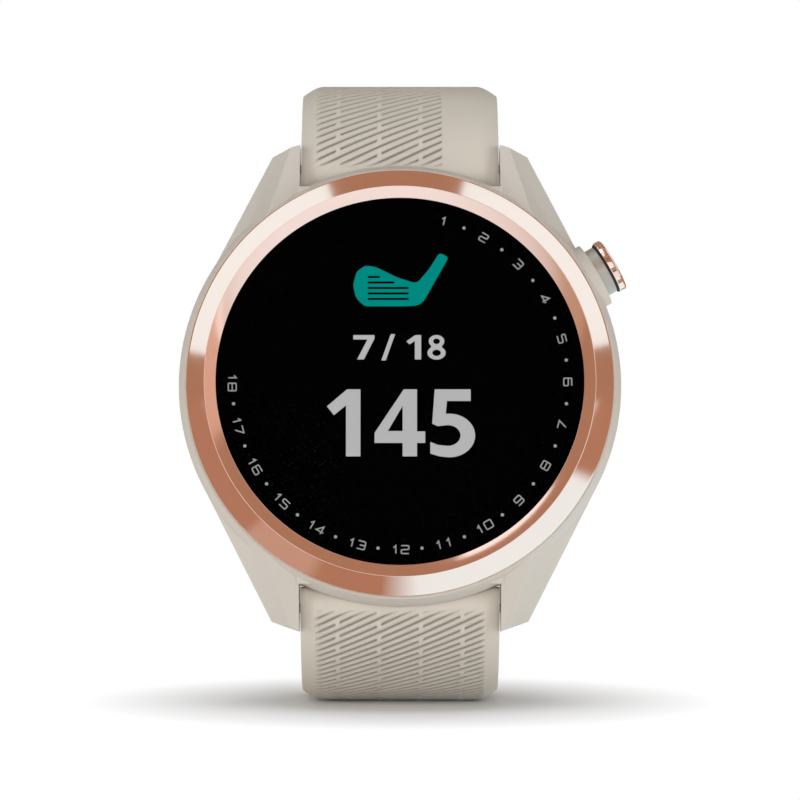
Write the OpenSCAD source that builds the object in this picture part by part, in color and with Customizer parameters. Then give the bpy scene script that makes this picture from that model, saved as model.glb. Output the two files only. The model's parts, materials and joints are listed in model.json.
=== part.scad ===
// Golf watch: round case with faceted lugs, two-facet bezel, one push button and a two-piece strap.
// Millimetres. The dial faces -Y and leans back, +Z is up, and the watch stands on its lower strap.
// The origin is the middle of the strap's flat rest, on the surface that the watch stands on.

/* [Case] */
// Widest diameter of the case
case_d = 43.9; // [43.4:0.1:45]
// Thickness from the back cover to the ridge of the bezel
case_h = 11.4; // [11.2:0.1:12.4]
// Bore that holds the inner parts
bore_d = 34.8; // [34.4:0.1:35.2]
// Diameter of the case at its back edge
case_back_d = 40; // [39:0.1:41]
// Height of the back edge above the face of the back cover
case_floor = 0.6; // [0.4:0.1:0.8]
// Height at which the widest band of the case begins
belly_low = 3.6; // [3:0.1:4]
// Height at which the widest band of the case ends
belly_high = 6.0; // [5.6:0.1:6.6]
// Angle by which the dial leans back
lean = 5; // [3:0.5:8]

/* [Lugs] */
// Gap between the two lugs of a pair
lug_gap = 20; // [19.6:0.1:20.6]
// Distance from the dial's centre to a lug's tip
lug_tip_y = 24.3; // [24:0.1:25]
// Width of a lug at its tip
lug_tip_w = 2.8; // [2.4:0.1:3.4]
// How far the outer corner of the tip is set back
lug_tip_rake = 1.0; // [0.6:0.1:1.4]
// Height of the ridge at the lug's tip
lug_tip_h = 4.9; // [4.6:0.1:5.4]
// Fall from the ridge to the lug's outer edge
lug_edge_fall = 2.3; // [1.8:0.1:2.8]
// Fall from the ridge to the lug's inner edge
lug_inner_fall = 0.25; // [0.1:0.05:0.4]
// Distance of the ridge from the lug's inner face at the tip
lug_ridge_in = 0.9; // [0.7:0.1:1.3]
// Angle round the dial, from 3 o'clock, at which the ridge meets the bezel
lug_ridge_angle = 52; // [50:1:55]
// Rise of the lug's underside towards the tip
lug_under_rise = 1.0; // [0.6:0.1:1.3]
// Distance of the spring bar from the dial's centre
bar_y = 22; // [21.8:0.1:22.3]
// Height of the spring bar above the face of the back cover
bar_z = 3.2; // [3.0:0.1:3.3]

/* [Bezel and lens] */
// Outer diameter of the bezel
bezel_d = 42.4; // [42:0.1:42.8]
// Width of the outer facet
facet_w = 1.7; // [1.4:0.1:1.9]
// Width of the inner facet
dish_w = 1.3; // [1.1:0.1:1.5]
// Height of the bezel from its seat to the ridge
bezel_h = 3.2; // [3.0:0.1:3.4]
// Fall of the outer facet
facet_fall = 1.7; // [1.4:0.1:2.0]
// Fall of the inner facet to the lens
dish_fall = 0.5; // [0.4:0.1:0.7]
// Broken edges of the bezel
bezel_break = 0.15; // [0.1:0.05:0.2]
// Width of the case's lip that the bezel fits round
lip_overlap = 0.7; // [0.5:0.1:0.9]
// Thickness of the lens
lens_t = 1.3; // [1.2:0.1:1.4]
// Bevel round the face of the lens
lens_bevel = 0.2; // [0.1:0.05:0.3]
// Thickness of the printed ring under the lens
dial_ring_t = 0.25; // [0.2:0.05:0.3]
// Width of the printed ring, inside which the display is lit
border_w = 3; // [2.7:0.1:3.2]
// Thickness of the gasket under the lens
lens_gasket_t = 0.4; // [0.3:0.05:0.45]
// Width of the gasket under the lens
lens_gasket_w = 1.0; // [0.8:0.1:1.1]

/* [Inside] */
// How far the display panel stops inside the edge of the lens's opening
panel_inset = 1.5; // [1.4:0.1:1.7]
// Thickness of the display panel
panel_t = 1.4; // [1.3:0.1:1.5]
// Height of the carrier between board and display
carrier_h = 1.75; // [1.6:0.05:1.8]
// Wall of the carrier
carrier_wall = 1.4; // [1.2:0.1:1.6]
// Thickness of the main board
board_t = 0.8; // [0.7:0.1:0.9]
// Battery width, length and height
battery = [17, 18, 2.9];
// Distance of the battery's middle from the dial's centre, towards 12 o'clock
battery_y = 4; // [3.6:0.1:4.4]
// Thickness of the pad under the battery
pad_t = 0.3; // [0.2:0.05:0.4]
// How far the pad stops short of the battery's edges
pad_inset = 1; // [0.5:0.1:2]
// Width of a battery tab
tab_w = 2; // [1.5:0.1:2.5]
// Length of a battery tab
tab_len = 3; // [2:0.1:4]
// Diameter of the vibration motor
motor_d = 7.6; // [7:0.1:8]
// Height of the vibration motor
motor_h = 2.6; // [2.4:0.1:2.8]
// Side of the antenna patch
antenna_w = 7; // [6:0.5:7.5]
// Place of the antenna patch to the right of the dial's centre
antenna_x = 6.3; // [5.5:0.1:6.6]
// Place of the antenna patch above the dial's centre
antenna_y = 5.6; // [4:0.1:6]
// Height of the antenna patch
antenna_h = 1.4; // [1.2:0.1:1.5]
// Shield can width, length and height
shield = [11, 9, 1.2];
// Width of the display's flex cable
flex_w = 6; // [5:0.5:7]
// Thickness of the flex cable
flex_t = 0.2; // [0.15:0.05:0.25]

/* [Back] */
// Diameter of the back cover
cover_d = 36.8; // [36.4:0.1:37]
// Thickness of the back cover's flange
cover_t = 1.2; // [1.1:0.1:1.3]
// Height of the cover's step inside the case
cover_step = 0.4; // [0.35:0.05:0.5]
// Thickness of the back gasket
back_gasket_t = 0.3; // [0.25:0.05:0.35]
// Diameter of the circle that the four screws lie on
screw_pcd = 31; // [30.8:0.1:31.2]
// Diameter of a screw's shank
screw_d = 1.2; // [1.1:0.1:1.3]
// Diameter of a screw's head
screw_head_d = 2.4; // [2.2:0.1:2.6]
// Height of a screw's head
screw_head_h = 0.6; // [0.5:0.05:0.7]
// Length of a screw
screw_len = 3.6; // [3.2:0.1:4]
// Diameter of the post that takes a screw
post_d = 4.4; // [4.2:0.1:4.6]
// Distance of the charging socket from the dial's centre, towards 6 o'clock
socket_y = 10.5; // [10:0.1:11]
// Length of the charging socket
socket_w = 8.4; // [8:0.1:9]
// Width of the charging socket
socket_h = 4; // [3.8:0.1:4.2]
// Depth of the charging socket
socket_depth = 1.1; // [1:0.1:1.2]
// Wall of the charging socket
socket_wall = 0.6; // [0.5:0.05:0.7]
// Diameter of a charging contact
contact_d = 0.9; // [0.8:0.05:1]
// Number of charging contacts
contact_count = 4; // [2:1:4]
// Distance between charging contacts
contact_pitch = 1.7; // [1.6:0.05:1.8]

/* [Button] */
// Angle of the button above 3 o'clock
button_angle = 30; // [28:1:32]
// Height of the button's axis above the face of the back cover
button_z = 4.2; // [4.1:0.05:4.3]
// Travel of the button
button_travel = 0.6; // [0.4:0.1:0.7]
// Diameter of the boss on the case
boss_d = 6.6; // [6.4:0.1:6.8]
// How far the boss stands out of the widest band of the case
boss_out = 0.55; // [0.45:0.05:0.85]
// Diameter of the silver shank
shank_d = 5; // [4.8:0.1:5.2]
// Length of the shank outside the boss
shank_out = 1.15; // [1:0.05:1.4]
// Length of the shank inside the boss
shank_in = 1.4; // [1.2:0.1:1.6]
// Diameter of the black ring under the cap
button_ring_d = 5.3; // [5.2:0.1:5.4]
// Thickness of the black ring under the cap
button_ring_t = 0.2; // [0.15:0.05:0.25]
// Diameter of the cap
cap_d = 5.55; // [5.4:0.05:5.8]
// Thickness of the cap
cap_t = 0.8; // [0.7:0.1:1]
// Number of notches round the cap
cap_notches = 12; // [8:1:14]
// Width of a notch
notch_w = 0.55; // [0.4:0.05:0.6]
// Depth of a notch
notch_depth = 0.25; // [0.2:0.05:0.3]
// Diameter of the stem
stem_d = 1.8; // [1.7:0.1:1.9]
// Diameter of the stem's neck under the clip
neck_d = 0.9; // [0.8:0.05:1]
// Length of the stem past its clip
stem_tip = 0.3; // [0.2:0.05:0.4]
// Diameter of the retaining clip
clip_d = 2.3; // [2.2:0.05:2.3]
// Thickness of the retaining clip
clip_t = 0.4; // [0.3:0.05:0.5]
// Thickness of the seal's round section
seal_t = 0.5; // [0.4:0.05:0.5]
// Width of the switch
switch_w = 3; // [2.6:0.1:3.2]
// Length of the switch along the button's axis
switch_len = 2; // [1.6:0.1:2.4]
// How far the switch reaches past the button's axis
switch_below = 0.8; // [0.7:0.1:1]
// Diameter of the switch's plunger
plunger_d = 1.4; // [1.2:0.1:1.5]
// Length of the switch's plunger
plunger_len = 0.4; // [0.3:0.05:0.5]

/* [Strap] */
// Width of the strap at the lugs
strap_w = 19.6; // [19.2:0.1:19.6]
// Width of the strap at the buckle and along the tail
strap_end_w = 17.8; // [17.4:0.1:18.2]
// Thickness of the strap
strap_t = 2.8; // [2.5:0.1:3]
// Width of the bevel along the outer edges
strap_bevel_w = 1.6; // [1.2:0.1:2]
// Depth of the bevel along the outer edges
strap_bevel_h = 0.95; // [0.7:0.05:1.1]
// Bevel along the inner edges
strap_inner_bevel = 0.4; // [0.3:0.05:0.5]
// Width of the fine moulding seams across the strap, one between every two steps of its path
seam_w = 0.3; // [0.2:0.05:0.4]
// Depth of the moulding seams
seam_depth = 0.15; // [0.1:0.05:0.2]
// Diameter of the strap's ends round the bar and the buckle pin
eye_d = 3.8; // [3.6:0.1:3.9]
// Angle back from upright at which the strap leaves its bar
strap_start = 20; // [18:1:22]
// Bend radius of the upper strap beside the case
upper_bend_r = 11.7; // [11:0.1:12.5]
// Radius of the upper strap round the wrist
upper_wrap_r = 32; // [31:0.5:33]
// Turn of the upper strap round the wrist
upper_wrap = 90; // [86:1:92]
// Turn over which the upper strap narrows
upper_taper = 33; // [28:1:35]
// Bend radius of the lower strap beside the case
lower_bend_r = 13; // [12.5:0.1:13.5]
// Length of the flat stretch that the watch stands on
rest_flat = 30; // [28:0.5:34]
// Radius of the lower strap where it rises behind the wrist
lower_rise_r = 31; // [30:0.5:33]
// Length of the straight tail
tail_len = 25; // [22:0.5:28]
// Radius of the tail's rounded end
tail_tip_r = 10.6; // [9.6:0.1:12]
// Number of holes in the tail
hole_count = 11; // [8:1:12]
// Diameter of a hole
hole_d = 2.3; // [2.1:0.1:2.5]
// Distance between holes
hole_pitch = 5.5; // [5:0.1:5.8]
// Distance of the last hole from the tail's end
hole_end = 12; // [11:0.5:14]

/* [Spring bars] */
// Outer diameter of the bar's tube
tube_d = 1.5; // [1.4:0.05:1.6]
// How far the tube stops short of the strap's sides
tube_inset = 0.1; // [0.05:0.05:0.2]
// Distance from the bar's middle to the closed end of the tube's bore
tube_plug_x = 2; // [1.5:0.1:2.5]
// Diameter of the bar's pins
pin_d = 0.9; // [0.8:0.05:0.95]
// Depth that a pin reaches into its lug
pin_reach = 1.2; // [1:0.1:1.4]
// Travel of the release knob
release_travel = 1.3; // [1.2:0.05:1.5]
// Distance of the release knob from the middle of the bar
knob_x = 7.4; // [7:0.1:7.6]
// Diameter of the release knob
knob_d = 1.1; // [1:0.1:1.2]
// Distance of the knob's end from the bar's axis
knob_reach = 2.6; // [2.4:0.1:2.7]
// Length of the bar's spring when it is pressed
spring_len = 4.8; // [4.4:0.1:5]
// Inner diameter of the bar's spring
spring_bore_d = 0.45; // [0.4:0.05:0.5]

/* [Buckle and keepers] */
// Gap between the arms of the buckle
buckle_gap = 18.4; // [18.2:0.1:18.8]
// Width of an arm
arm_w = 1.8; // [1.6:0.1:2]
// Thickness of the buckle's frame
arm_t = 2.2; // [2:0.1:2.4]
// Diameter of an arm's eye round the buckle pin
arm_eye_d = 3.2; // [3:0.1:3.4]
// Distance of the cross bar from the buckle pin
buckle_len = 12.5; // [12:0.1:13]
// Width of the cross bar
cross_w = 2.6; // [2.4:0.1:2.8]
// Rounding of the buckle's outer corners
buckle_corner_r = 3; // [2:0.1:4]
// Rounding of the buckle's inner corners
buckle_inner_r = 0.5; // [0.3:0.1:0.6]
// Diameter of the buckle pin
buckle_pin_d = 1.5; // [1.4:0.05:1.6]
// Width of the tongue's blade
tongue_w = 2.0; // [1.8:0.1:2.2]
// Thickness of the tongue's blade
tongue_t = 1.1; // [1:0.1:1.2]
// Rounding of the tongue's tip
tongue_tip_r = 0.8; // [0.5:0.1:0.8]
// Width of the tongue's barrel
barrel_w = 3.2; // [3:0.1:3.4]
// Diameter of the tongue's barrel
barrel_d = 3.1; // [3:0.1:3.3]
// Clearance of the barrel in the notch of the strap's end
barrel_gap = 0.3; // [0.2:0.05:0.4]
// Length of a keeper along the strap
keeper_len = 5; // [4:0.5:5.5]
// Wall of a keeper
keeper_wall = 1.2; // [1:0.1:1.4]
// Turn from the buckle pin to the fixed keeper
fixed_keeper_turn = 16; // [15:0.5:17]
// Turn from the buckle pin to the loose keeper
loose_keeper_turn = 40; // [38:0.5:41]

/* [Clearances] */
// Clearance round pieces that are set into a bore or recess
set_gap = 0.1; // [0.05:0.01:0.12]
// Radial clearance of pins and shanks that slide or turn
run_gap = 0.05; // [0.03:0.01:0.08]
// Clearance of the strap's end from the case
pocket_gap = 0.35; // [0.3:0.05:0.4]
// Clearance of a keeper from the strap
keeper_gap = 0.25; // [0.2:0.05:0.3]

/* [Hidden] */
$fn = 64;

// Colours
sand = [0.77, 0.74, 0.69];
rose_gold = [0.80, 0.56, 0.45];
silver = [0.78, 0.79, 0.80];
black = [0.03, 0.03, 0.04];
gold = [0.83, 0.66, 0.30];
board_green = [0.06, 0.24, 0.16];

// Radii of the case and of what sits in it
case_r = case_d / 2;
case_back_r = case_back_d / 2;
bore_r = bore_d / 2;
bezel_r = bezel_d / 2;
ridge_r = bezel_r - facet_w;
window_r = ridge_r - dish_w;
active_r = window_r - border_w;
cover_r = cover_d / 2;
lens_r = window_r - run_gap;
panel_r = window_r - panel_inset;
lip_bore_r = panel_r + set_gap;
lip_r = window_r + lip_overlap;

// Heights above the face of the back cover, from the bezel down and from the cover up
seat_z = case_h - bezel_h;
lens_top = case_h - dish_fall;
lens_low = lens_top - lens_t;
ring_low = lens_low - dial_ring_t;
ledge_z = ring_low - lens_gasket_t;
panel_low = ring_low - panel_t;
board_top = panel_low - carrier_h;
board_low = board_top - board_t;
back_seat = cover_t + back_gasket_t;
cover_top = cover_t + cover_step;
lip_low = panel_low + set_gap;

// Distances along the button's axis from the dial's axis
boss_r = case_r + boss_out;
shank_end = boss_r + shank_out;
shank_start = boss_r - shank_in;
clip_face = sqrt(pow(bore_r, 2) - pow(clip_d / 2, 2)) - set_gap;
stem_end = clip_face - clip_t - stem_tip;
seal_at = (shank_start + bore_r) / 2;
switch_face = stem_end - button_travel - set_gap;

// Reach of cuts past the piece that they cut, and a length beyond the whole watch
over = 1;
far = 200;

// Strap ends, paths and the places that hang on them
eye_r = eye_d / 2;
pocket_r = eye_r + pocket_gap;
bar_half = strap_w / 2 - tube_inset;
tip_x = lug_gap / 2 + pin_reach;
upper_path = [[90 - strap_start, upper_bend_r], [upper_wrap, upper_wrap_r]];
lower_path = [[90 - strap_start, lower_bend_r], [0, rest_flat], [90, lower_rise_r], [0, tail_len]];
path_start = [0, 0, strap_start];
apex = step_end(path_start, upper_path[0]);
touch = step_end(path_start, lower_path[0]);
lower_bar = [-rest_flat / 2 - touch[0], strap_t / 2 + touch[1]];
head = lower_bar + [bar_y * sin(lean) + bar_z * cos(lean), bar_y * cos(lean) - bar_z * sin(lean)];
upper_bar = head + [bar_y * sin(lean) - bar_z * cos(lean), bar_y * cos(lean) + bar_z * sin(lean)];
buckle_pose = pose_at(upper_path, path_length(upper_path));

// A path is a list of steps: [0, length] runs straight, [turn, radius] bends towards the wrist.
// A pose on it is [distance back, distance away from the dial's centre, angle back from upright].
function step_length(step) = step[0] == 0 ? step[1] : step[1] * step[0] * PI / 180;
function path_length(path, i = 0) = i == len(path) ? 0 : step_length(path[i]) + path_length(path, i + 1);
function step_end(p, step) = step[0] == 0
  ? [p[0] + step[1] * sin(p[2]), p[1] + step[1] * cos(p[2]), p[2]]
  : [p[0] + step[1] * (cos(p[2]) - cos(p[2] + step[0])),
     p[1] + step[1] * (sin(p[2] + step[0]) - sin(p[2])),
     p[2] + step[0]];
function step_part(step, s) = step[0] == 0 ? [0, s] : [step[0] * s / step_length(step), step[1]];
function pose_at(path, s, p = path_start, i = 0) = i == len(path) - 1 || s <= step_length(path[i])
  ? step_end(p, step_part(path[i], s))
  : pose_at(path, s - step_length(path[i]), step_end(p, path[i]), i + 1);

// Places
module in_head() translate([0, head[0], head[1]]) rotate([90 - lean, 0, 0]) children();
module on_upper() translate([0, upper_bar[0], upper_bar[1]]) children();
module on_lower() translate([0, lower_bar[0], lower_bar[1]]) mirror([0, 0, 1]) children();
module at_pose(p) translate([0, p[0], p[1]]) rotate([-p[2], 0, 0]) children();
module at_buckle() on_upper() at_pose(buckle_pose) children();
module on_button_axis()
  translate([0, 0, button_z]) rotate([0, 0, button_angle]) rotate([0, 90, 0]) children();
module at_screws() for (a = [45:90:315]) rotate(a) translate([screw_pcd / 2, 0]) children();

// Shapes used by several pieces
module rod(d, x0, x1) translate([x0, 0, 0]) rotate([0, 90, 0]) cylinder(d = d, h = x1 - x0);
module ring(r_out, r_in, z0, z1) rotate_extrude() translate([r_in, z0]) square([r_out - r_in, z1 - z0]);
module block(size) translate([-size[0] / 2, -size[1] / 2, 0]) cube(size);
module rounded_plate(w, h, r) {
  square([w - 2 * r, h], center = true);
  square([w, h - 2 * r], center = true);
  for (x = [-1, 1], y = [-1, 1]) translate([x * (w / 2 - r), y * (h / 2 - r)]) circle(r);
}
// Everything on the side of the plane through a, b and c from which they run anticlockwise
module beyond(a, b, c) {
  n = cross(b - a, c - a) / norm(cross(b - a, c - a));
  translate(a) rotate([0, acos(n[2]), atan2(n[1], n[0])]) block([far, far, far]);
}

// Case
function tangent_point(p, r) =
  let (a = atan2(p[1], p[0]) - acos(r / norm(p))) [r * cos(a), r * sin(a)];

module lug() {
  tip_in = [lug_gap / 2, lug_tip_y];
  tip_out = [lug_gap / 2 + lug_tip_w, lug_tip_y - lug_tip_rake];
  flank = tangent_point(tip_out, case_r);
  ridge_in = [(bezel_r + set_gap) * cos(lug_ridge_angle), (bezel_r + set_gap) * sin(lug_ridge_angle), seat_z];
  ridge_tip = [lug_gap / 2 + lug_ridge_in, lug_tip_y - lug_tip_rake * lug_ridge_in / lug_tip_w, lug_tip_h];
  edge_tip = [tip_out[0], tip_out[1], lug_tip_h - lug_edge_fall];
  inner_tip = [tip_in[0], tip_in[1], lug_tip_h - lug_inner_fall];
  under_root = [lug_gap / 2, bar_y - eye_r, case_floor];
  under_tip = [lug_gap / 2, lug_tip_y, case_floor + lug_under_rise];
  difference() {
    translate([0, 0, case_floor]) linear_extrude(seat_z - case_floor)
      polygon([tip_in, tip_out, flank, [lug_gap / 2, flank[1]]]);
    beyond(ridge_in, ridge_tip, inner_tip);
    beyond(ridge_in, edge_tip, ridge_tip);
    beyond(under_root, under_tip, under_root + [1, 0, 0]);
  }
}

module strap_pocket() {
  rod(2 * pocket_r, -lug_gap / 2, lug_gap / 2);
  translate([-lug_gap / 2, -pocket_r - pocket_gap, -far]) cube([lug_gap, far, far]);
}

module case_shell() color(sand) in_head() difference() {
  union() {
    rotate_extrude() polygon([[0, case_floor], [case_back_r, case_floor], [case_r, belly_low],
      [case_r, belly_high], [bezel_r + set_gap, seat_z], [lip_r, seat_z], [lip_r, ledge_z], [0, ledge_z]]);
    for (x = [0, 1], y = [0, 1]) mirror([x, 0, 0]) mirror([0, y, 0]) lug();
    on_button_axis() cylinder(d = boss_d, h = boss_r);
  }
  difference() {
    rotate_extrude() polygon([[0, 0], [cover_r + set_gap, 0], [cover_r + set_gap, back_seat],
      [bore_r, back_seat], [bore_r, lip_low], [lip_bore_r, lip_low], [lip_bore_r, case_h], [0, case_h]]);
    at_screws() translate([0, 0, cover_top]) cylinder(d = post_d, h = board_low - cover_top);
  }
  at_screws() cylinder(d = screw_d + 2 * run_gap, h = screw_len + set_gap);
  for (y = [-bar_y, bar_y]) translate([0, y, bar_z]) {
    strap_pocket();
    rod(pin_d + 2 * run_gap, -tip_x - set_gap, tip_x + set_gap);
  }
  on_button_axis() cylinder(d = stem_d + 2 * run_gap, h = boss_r);
  on_button_axis() translate([0, 0, boss_r - shank_in - button_travel - set_gap])
    cylinder(d = shank_d + 2 * run_gap, h = far);
}

module bezel_ring() color(rose_gold) in_head() rotate_extrude() polygon([
  [lip_r + run_gap, seat_z], [bezel_r - bezel_break, seat_z], [bezel_r, seat_z + bezel_break],
  [bezel_r, case_h - facet_fall - bezel_break], [bezel_r - bezel_break, case_h - facet_fall],
  [ridge_r, case_h], [window_r, lens_top], [window_r, ledge_z], [lip_r + run_gap, ledge_z]]);

// Lens, dial and display
module lens() color(black) in_head() rotate_extrude() polygon([[0, lens_low], [lens_r, lens_low],
  [lens_r, lens_top - lens_bevel], [lens_r - lens_bevel, lens_top], [0, lens_top]]);
module dial_ring() color(black) in_head() ring(lens_r, active_r, ring_low, lens_low);
module lens_gasket() color(black) in_head() ring(lens_r, lens_r - lens_gasket_w, ledge_z, ring_low);
module display_panel() color(black) in_head()
  translate([0, 0, panel_low]) cylinder(r = panel_r, h = panel_t);
module display_carrier() color("dimgray") in_head()
  ring(panel_r, panel_r - carrier_wall, board_top, panel_low);
module display_flex() color("darkorange") in_head()
  translate([-flex_w / 2, -panel_r + 2 * carrier_wall, board_top]) cube([flex_w, flex_t, carrier_h]);

// Board and what it carries
module main_board() color(board_green) in_head()
  translate([0, 0, board_low]) cylinder(r = panel_r, h = board_t);
module rf_shield() color(silver) in_head() translate([-shield[0] / 2, 0, board_top]) block(shield);
module gps_antenna() color("burlywood") in_head()
  translate([antenna_x, antenna_y, board_top]) block([antenna_w, antenna_w, antenna_h]);
module vibration_motor() color(silver) in_head()
  translate([-bore_r + motor_d / 2 + set_gap, 0, board_low - motor_h]) cylinder(d = motor_d, h = motor_h);
module battery_cell() color(silver) in_head() translate([0, battery_y, cover_top + pad_t]) block(battery);
module battery_pad() color("white") in_head()
  translate([0, battery_y, cover_top]) block([battery[0] - 2 * pad_inset, battery[1] - 2 * pad_inset, pad_t]);
module battery_tabs() color(gold) in_head() {
  tab_low = cover_top + pad_t + battery[2];
  for (x = [-1, 1])
    translate([x * battery[0] / 4, battery_y, tab_low]) block([tab_w, tab_len, board_low - tab_low]);
}

// Back
module back_cover() color(sand) in_head() difference() {
  union() {
    ring(cover_r, 0, 0, cover_t);
    ring(bore_r - set_gap, 0, 0, cover_top);
  }
  at_screws() translate([0, 0, -over]) cylinder(d = screw_d + 2 * run_gap, h = far);
  at_screws() translate([0, 0, -over]) cylinder(d = screw_head_d + 2 * run_gap, h = screw_head_h + over);
  translate([0, -socket_y, -over]) linear_extrude(far)
    rounded_plate(socket_w + 2 * run_gap, socket_h + 2 * run_gap, socket_h / 4);
}
module back_gasket() color(black) in_head() ring(cover_r - set_gap, bore_r + set_gap, cover_t, back_seat);
module back_screws() color(silver) in_head() at_screws() {
  cylinder(d = screw_head_d, h = screw_head_h);
  cylinder(d = screw_d, h = screw_len);
}
module charge_socket() color(black) in_head() translate([0, -socket_y, 0]) difference() {
  linear_extrude(socket_depth + socket_wall) rounded_plate(socket_w, socket_h, socket_h / 4);
  translate([0, 0, -over]) linear_extrude(socket_depth + over)
    rounded_plate(socket_w - 2 * socket_wall, socket_h - 2 * socket_wall, (socket_h - 2 * socket_wall) / 4);
}
module charge_contacts() color(gold) in_head()
  for (i = [0:contact_count - 1])
    translate([(i - (contact_count - 1) / 2) * contact_pitch, -socket_y, socket_depth / 2])
      cylinder(d = contact_d, h = socket_depth / 2);

// Button
module button_cap() color(rose_gold) in_head() on_button_axis() translate([0, 0, shank_end + button_ring_t])
  difference() {
    rotate_extrude() polygon([[0, 0], [cap_d / 2, 0], [cap_d / 2, cap_t - notch_depth],
      [cap_d / 2 - notch_depth, cap_t], [0, cap_t]]);
    for (i = [1:cap_notches]) rotate(i * 360 / cap_notches)
      translate([cap_d / 2 - notch_depth, -notch_w / 2, -over]) cube([over, notch_w, cap_t + 2 * over]);
  }
module button_ring() color(black) in_head() on_button_axis()
  translate([0, 0, shank_end]) cylinder(d = button_ring_d, h = button_ring_t);
module button_shank() color(silver) in_head() on_button_axis()
  translate([0, 0, shank_start]) cylinder(d = shank_d, h = shank_in + shank_out);
module button_stem() color(silver) in_head() on_button_axis() difference() {
  translate([0, 0, stem_end]) cylinder(d = stem_d, h = shank_start - stem_end);
  ring(stem_d, stem_d / 2 - seal_t + run_gap, seal_at - seal_t / 2 - run_gap, seal_at + seal_t / 2 + run_gap);
  ring(stem_d, neck_d / 2, clip_face - clip_t - run_gap, clip_face + run_gap);
}
module button_seal() color(black) in_head() on_button_axis() translate([0, 0, seal_at])
  rotate_extrude() translate([stem_d / 2 - seal_t / 2 + run_gap, 0]) circle(d = seal_t - run_gap);
module button_clip() color(silver) in_head() on_button_axis()
  ring(clip_d / 2, neck_d / 2 + run_gap, clip_face - clip_t, clip_face);
module button_switch() color("dimgray") in_head() on_button_axis() {
  translate([button_z - board_low, -switch_w / 2, switch_face - plunger_len - switch_len])
    cube([board_low - button_z + switch_below, switch_w, switch_len]);
  translate([0, 0, switch_face - plunger_len]) cylinder(d = plunger_d, h = plunger_len);
}

// Strap
module strap_section(inset = 0) {
  w = strap_w / 2 - inset;
  t = strap_t / 2 - inset;
  polygon([[w - strap_inner_bevel, t], [w, t - strap_inner_bevel], [w, strap_bevel_h - t],
    [w - strap_bevel_w, -t], [strap_bevel_w - w, -t], [-w, strap_bevel_h - t],
    [-w, t - strap_inner_bevel], [strap_inner_bevel - w, t]]);
}
module strap_straight(length)
  translate([0, 0, seam_w / 2]) linear_extrude(length - seam_w) strap_section();
module strap_bend(turn, r, lead) {
  first = lead / r * 180 / PI;
  last = turn - seam_w / 2 / r * 180 / PI;
  translate([0, r, 0]) rotate([90, 0, -90]) rotate(first) rotate_extrude(angle = last - first, $fn = 96)
    translate([r, 0]) rotate(-90) mirror([0, 1]) strap_section();
}
// The first step starts inside the strap's eye. The steps stop just short of each other, and the floor
// of the seam joins them.
module strap_run(path, i = 0, p = path_start) if (i < len(path)) {
  at_pose(p) if (path[i][0] == 0) strap_straight(path[i][1]);
    else strap_bend(path[i][0], path[i][1], i == 0 ? eye_r / 2 : seam_w / 2);
  if (i > 0) at_pose(p) linear_extrude(3 * seam_w, center = true) strap_section(seam_depth);
  strap_run(path, i + 1, step_end(p, path[i]));
}
// What is cut off the strap's sides where it narrows from strap_w at y0 to strap_end_w at y1
module strap_taper(y0, y1) for (x = [0, 1]) mirror([x, 0, 0])
  linear_extrude(2 * far, center = true) polygon([[strap_w / 2, y0], [strap_w, y0], [strap_w, far],
    [strap_end_w / 2, far], [strap_end_w / 2, y1]]);
// Bore for the bar's tube and the slot in which the release knob slides
module bar_cuts() at_pose(path_start) {
  rod(tube_d + 2 * run_gap, -strap_w, strap_w);
  knob_slot(strap_t * 2);
}
module knob_slot(depth) translate([knob_x - release_travel - knob_d / 2 - set_gap, 0, -knob_d / 2 - set_gap])
  cube([release_travel + knob_d + 2 * set_gap, depth, knob_d + 2 * set_gap]);

module upper_strap() color(sand) on_upper() difference() {
  union() {
    strap_run(upper_path);
    rod(eye_d, -strap_w / 2, strap_w / 2);
    at_pose(buckle_pose) rod(eye_d, -strap_w / 2, strap_w / 2);
  }
  strap_taper(apex[0], apex[0] + upper_wrap_r * sin(upper_taper));
  bar_cuts();
  at_pose(buckle_pose) {
    rod(buckle_pin_d + 2 * run_gap, -strap_w, strap_w);
    translate([-barrel_w / 2 - barrel_gap, -strap_t * 2, -barrel_d / 2 - barrel_gap])
      cube([barrel_w + 2 * barrel_gap, strap_t * 4, barrel_d * 2]);
  }
}

module lower_strap() color(sand) on_lower() difference() {
  union() {
    strap_run(lower_path);
    rod(eye_d, -strap_w / 2, strap_w / 2);
  }
  strap_taper(touch[0], touch[0] + rest_flat);
  bar_cuts();
  for (i = [0:hole_count - 1])
    at_pose(pose_at(lower_path, path_length(lower_path) - hole_end - i * hole_pitch))
      rotate([90, 0, 0]) cylinder(d = hole_d, h = strap_t * 2, center = true);
  at_pose(pose_at(lower_path, path_length(lower_path))) tail_corners();
}
// What is cut off the strap's straight end to leave it round
module tail_corners() rotate([90, 0, 0]) linear_extrude(strap_t * 2, center = true) difference() {
  translate([-strap_w / 2, -tail_tip_r - seam_w]) square([strap_w, 2 * tail_tip_r]);
  translate([0, -tail_tip_r - seam_w]) circle(tail_tip_r);
}

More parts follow.
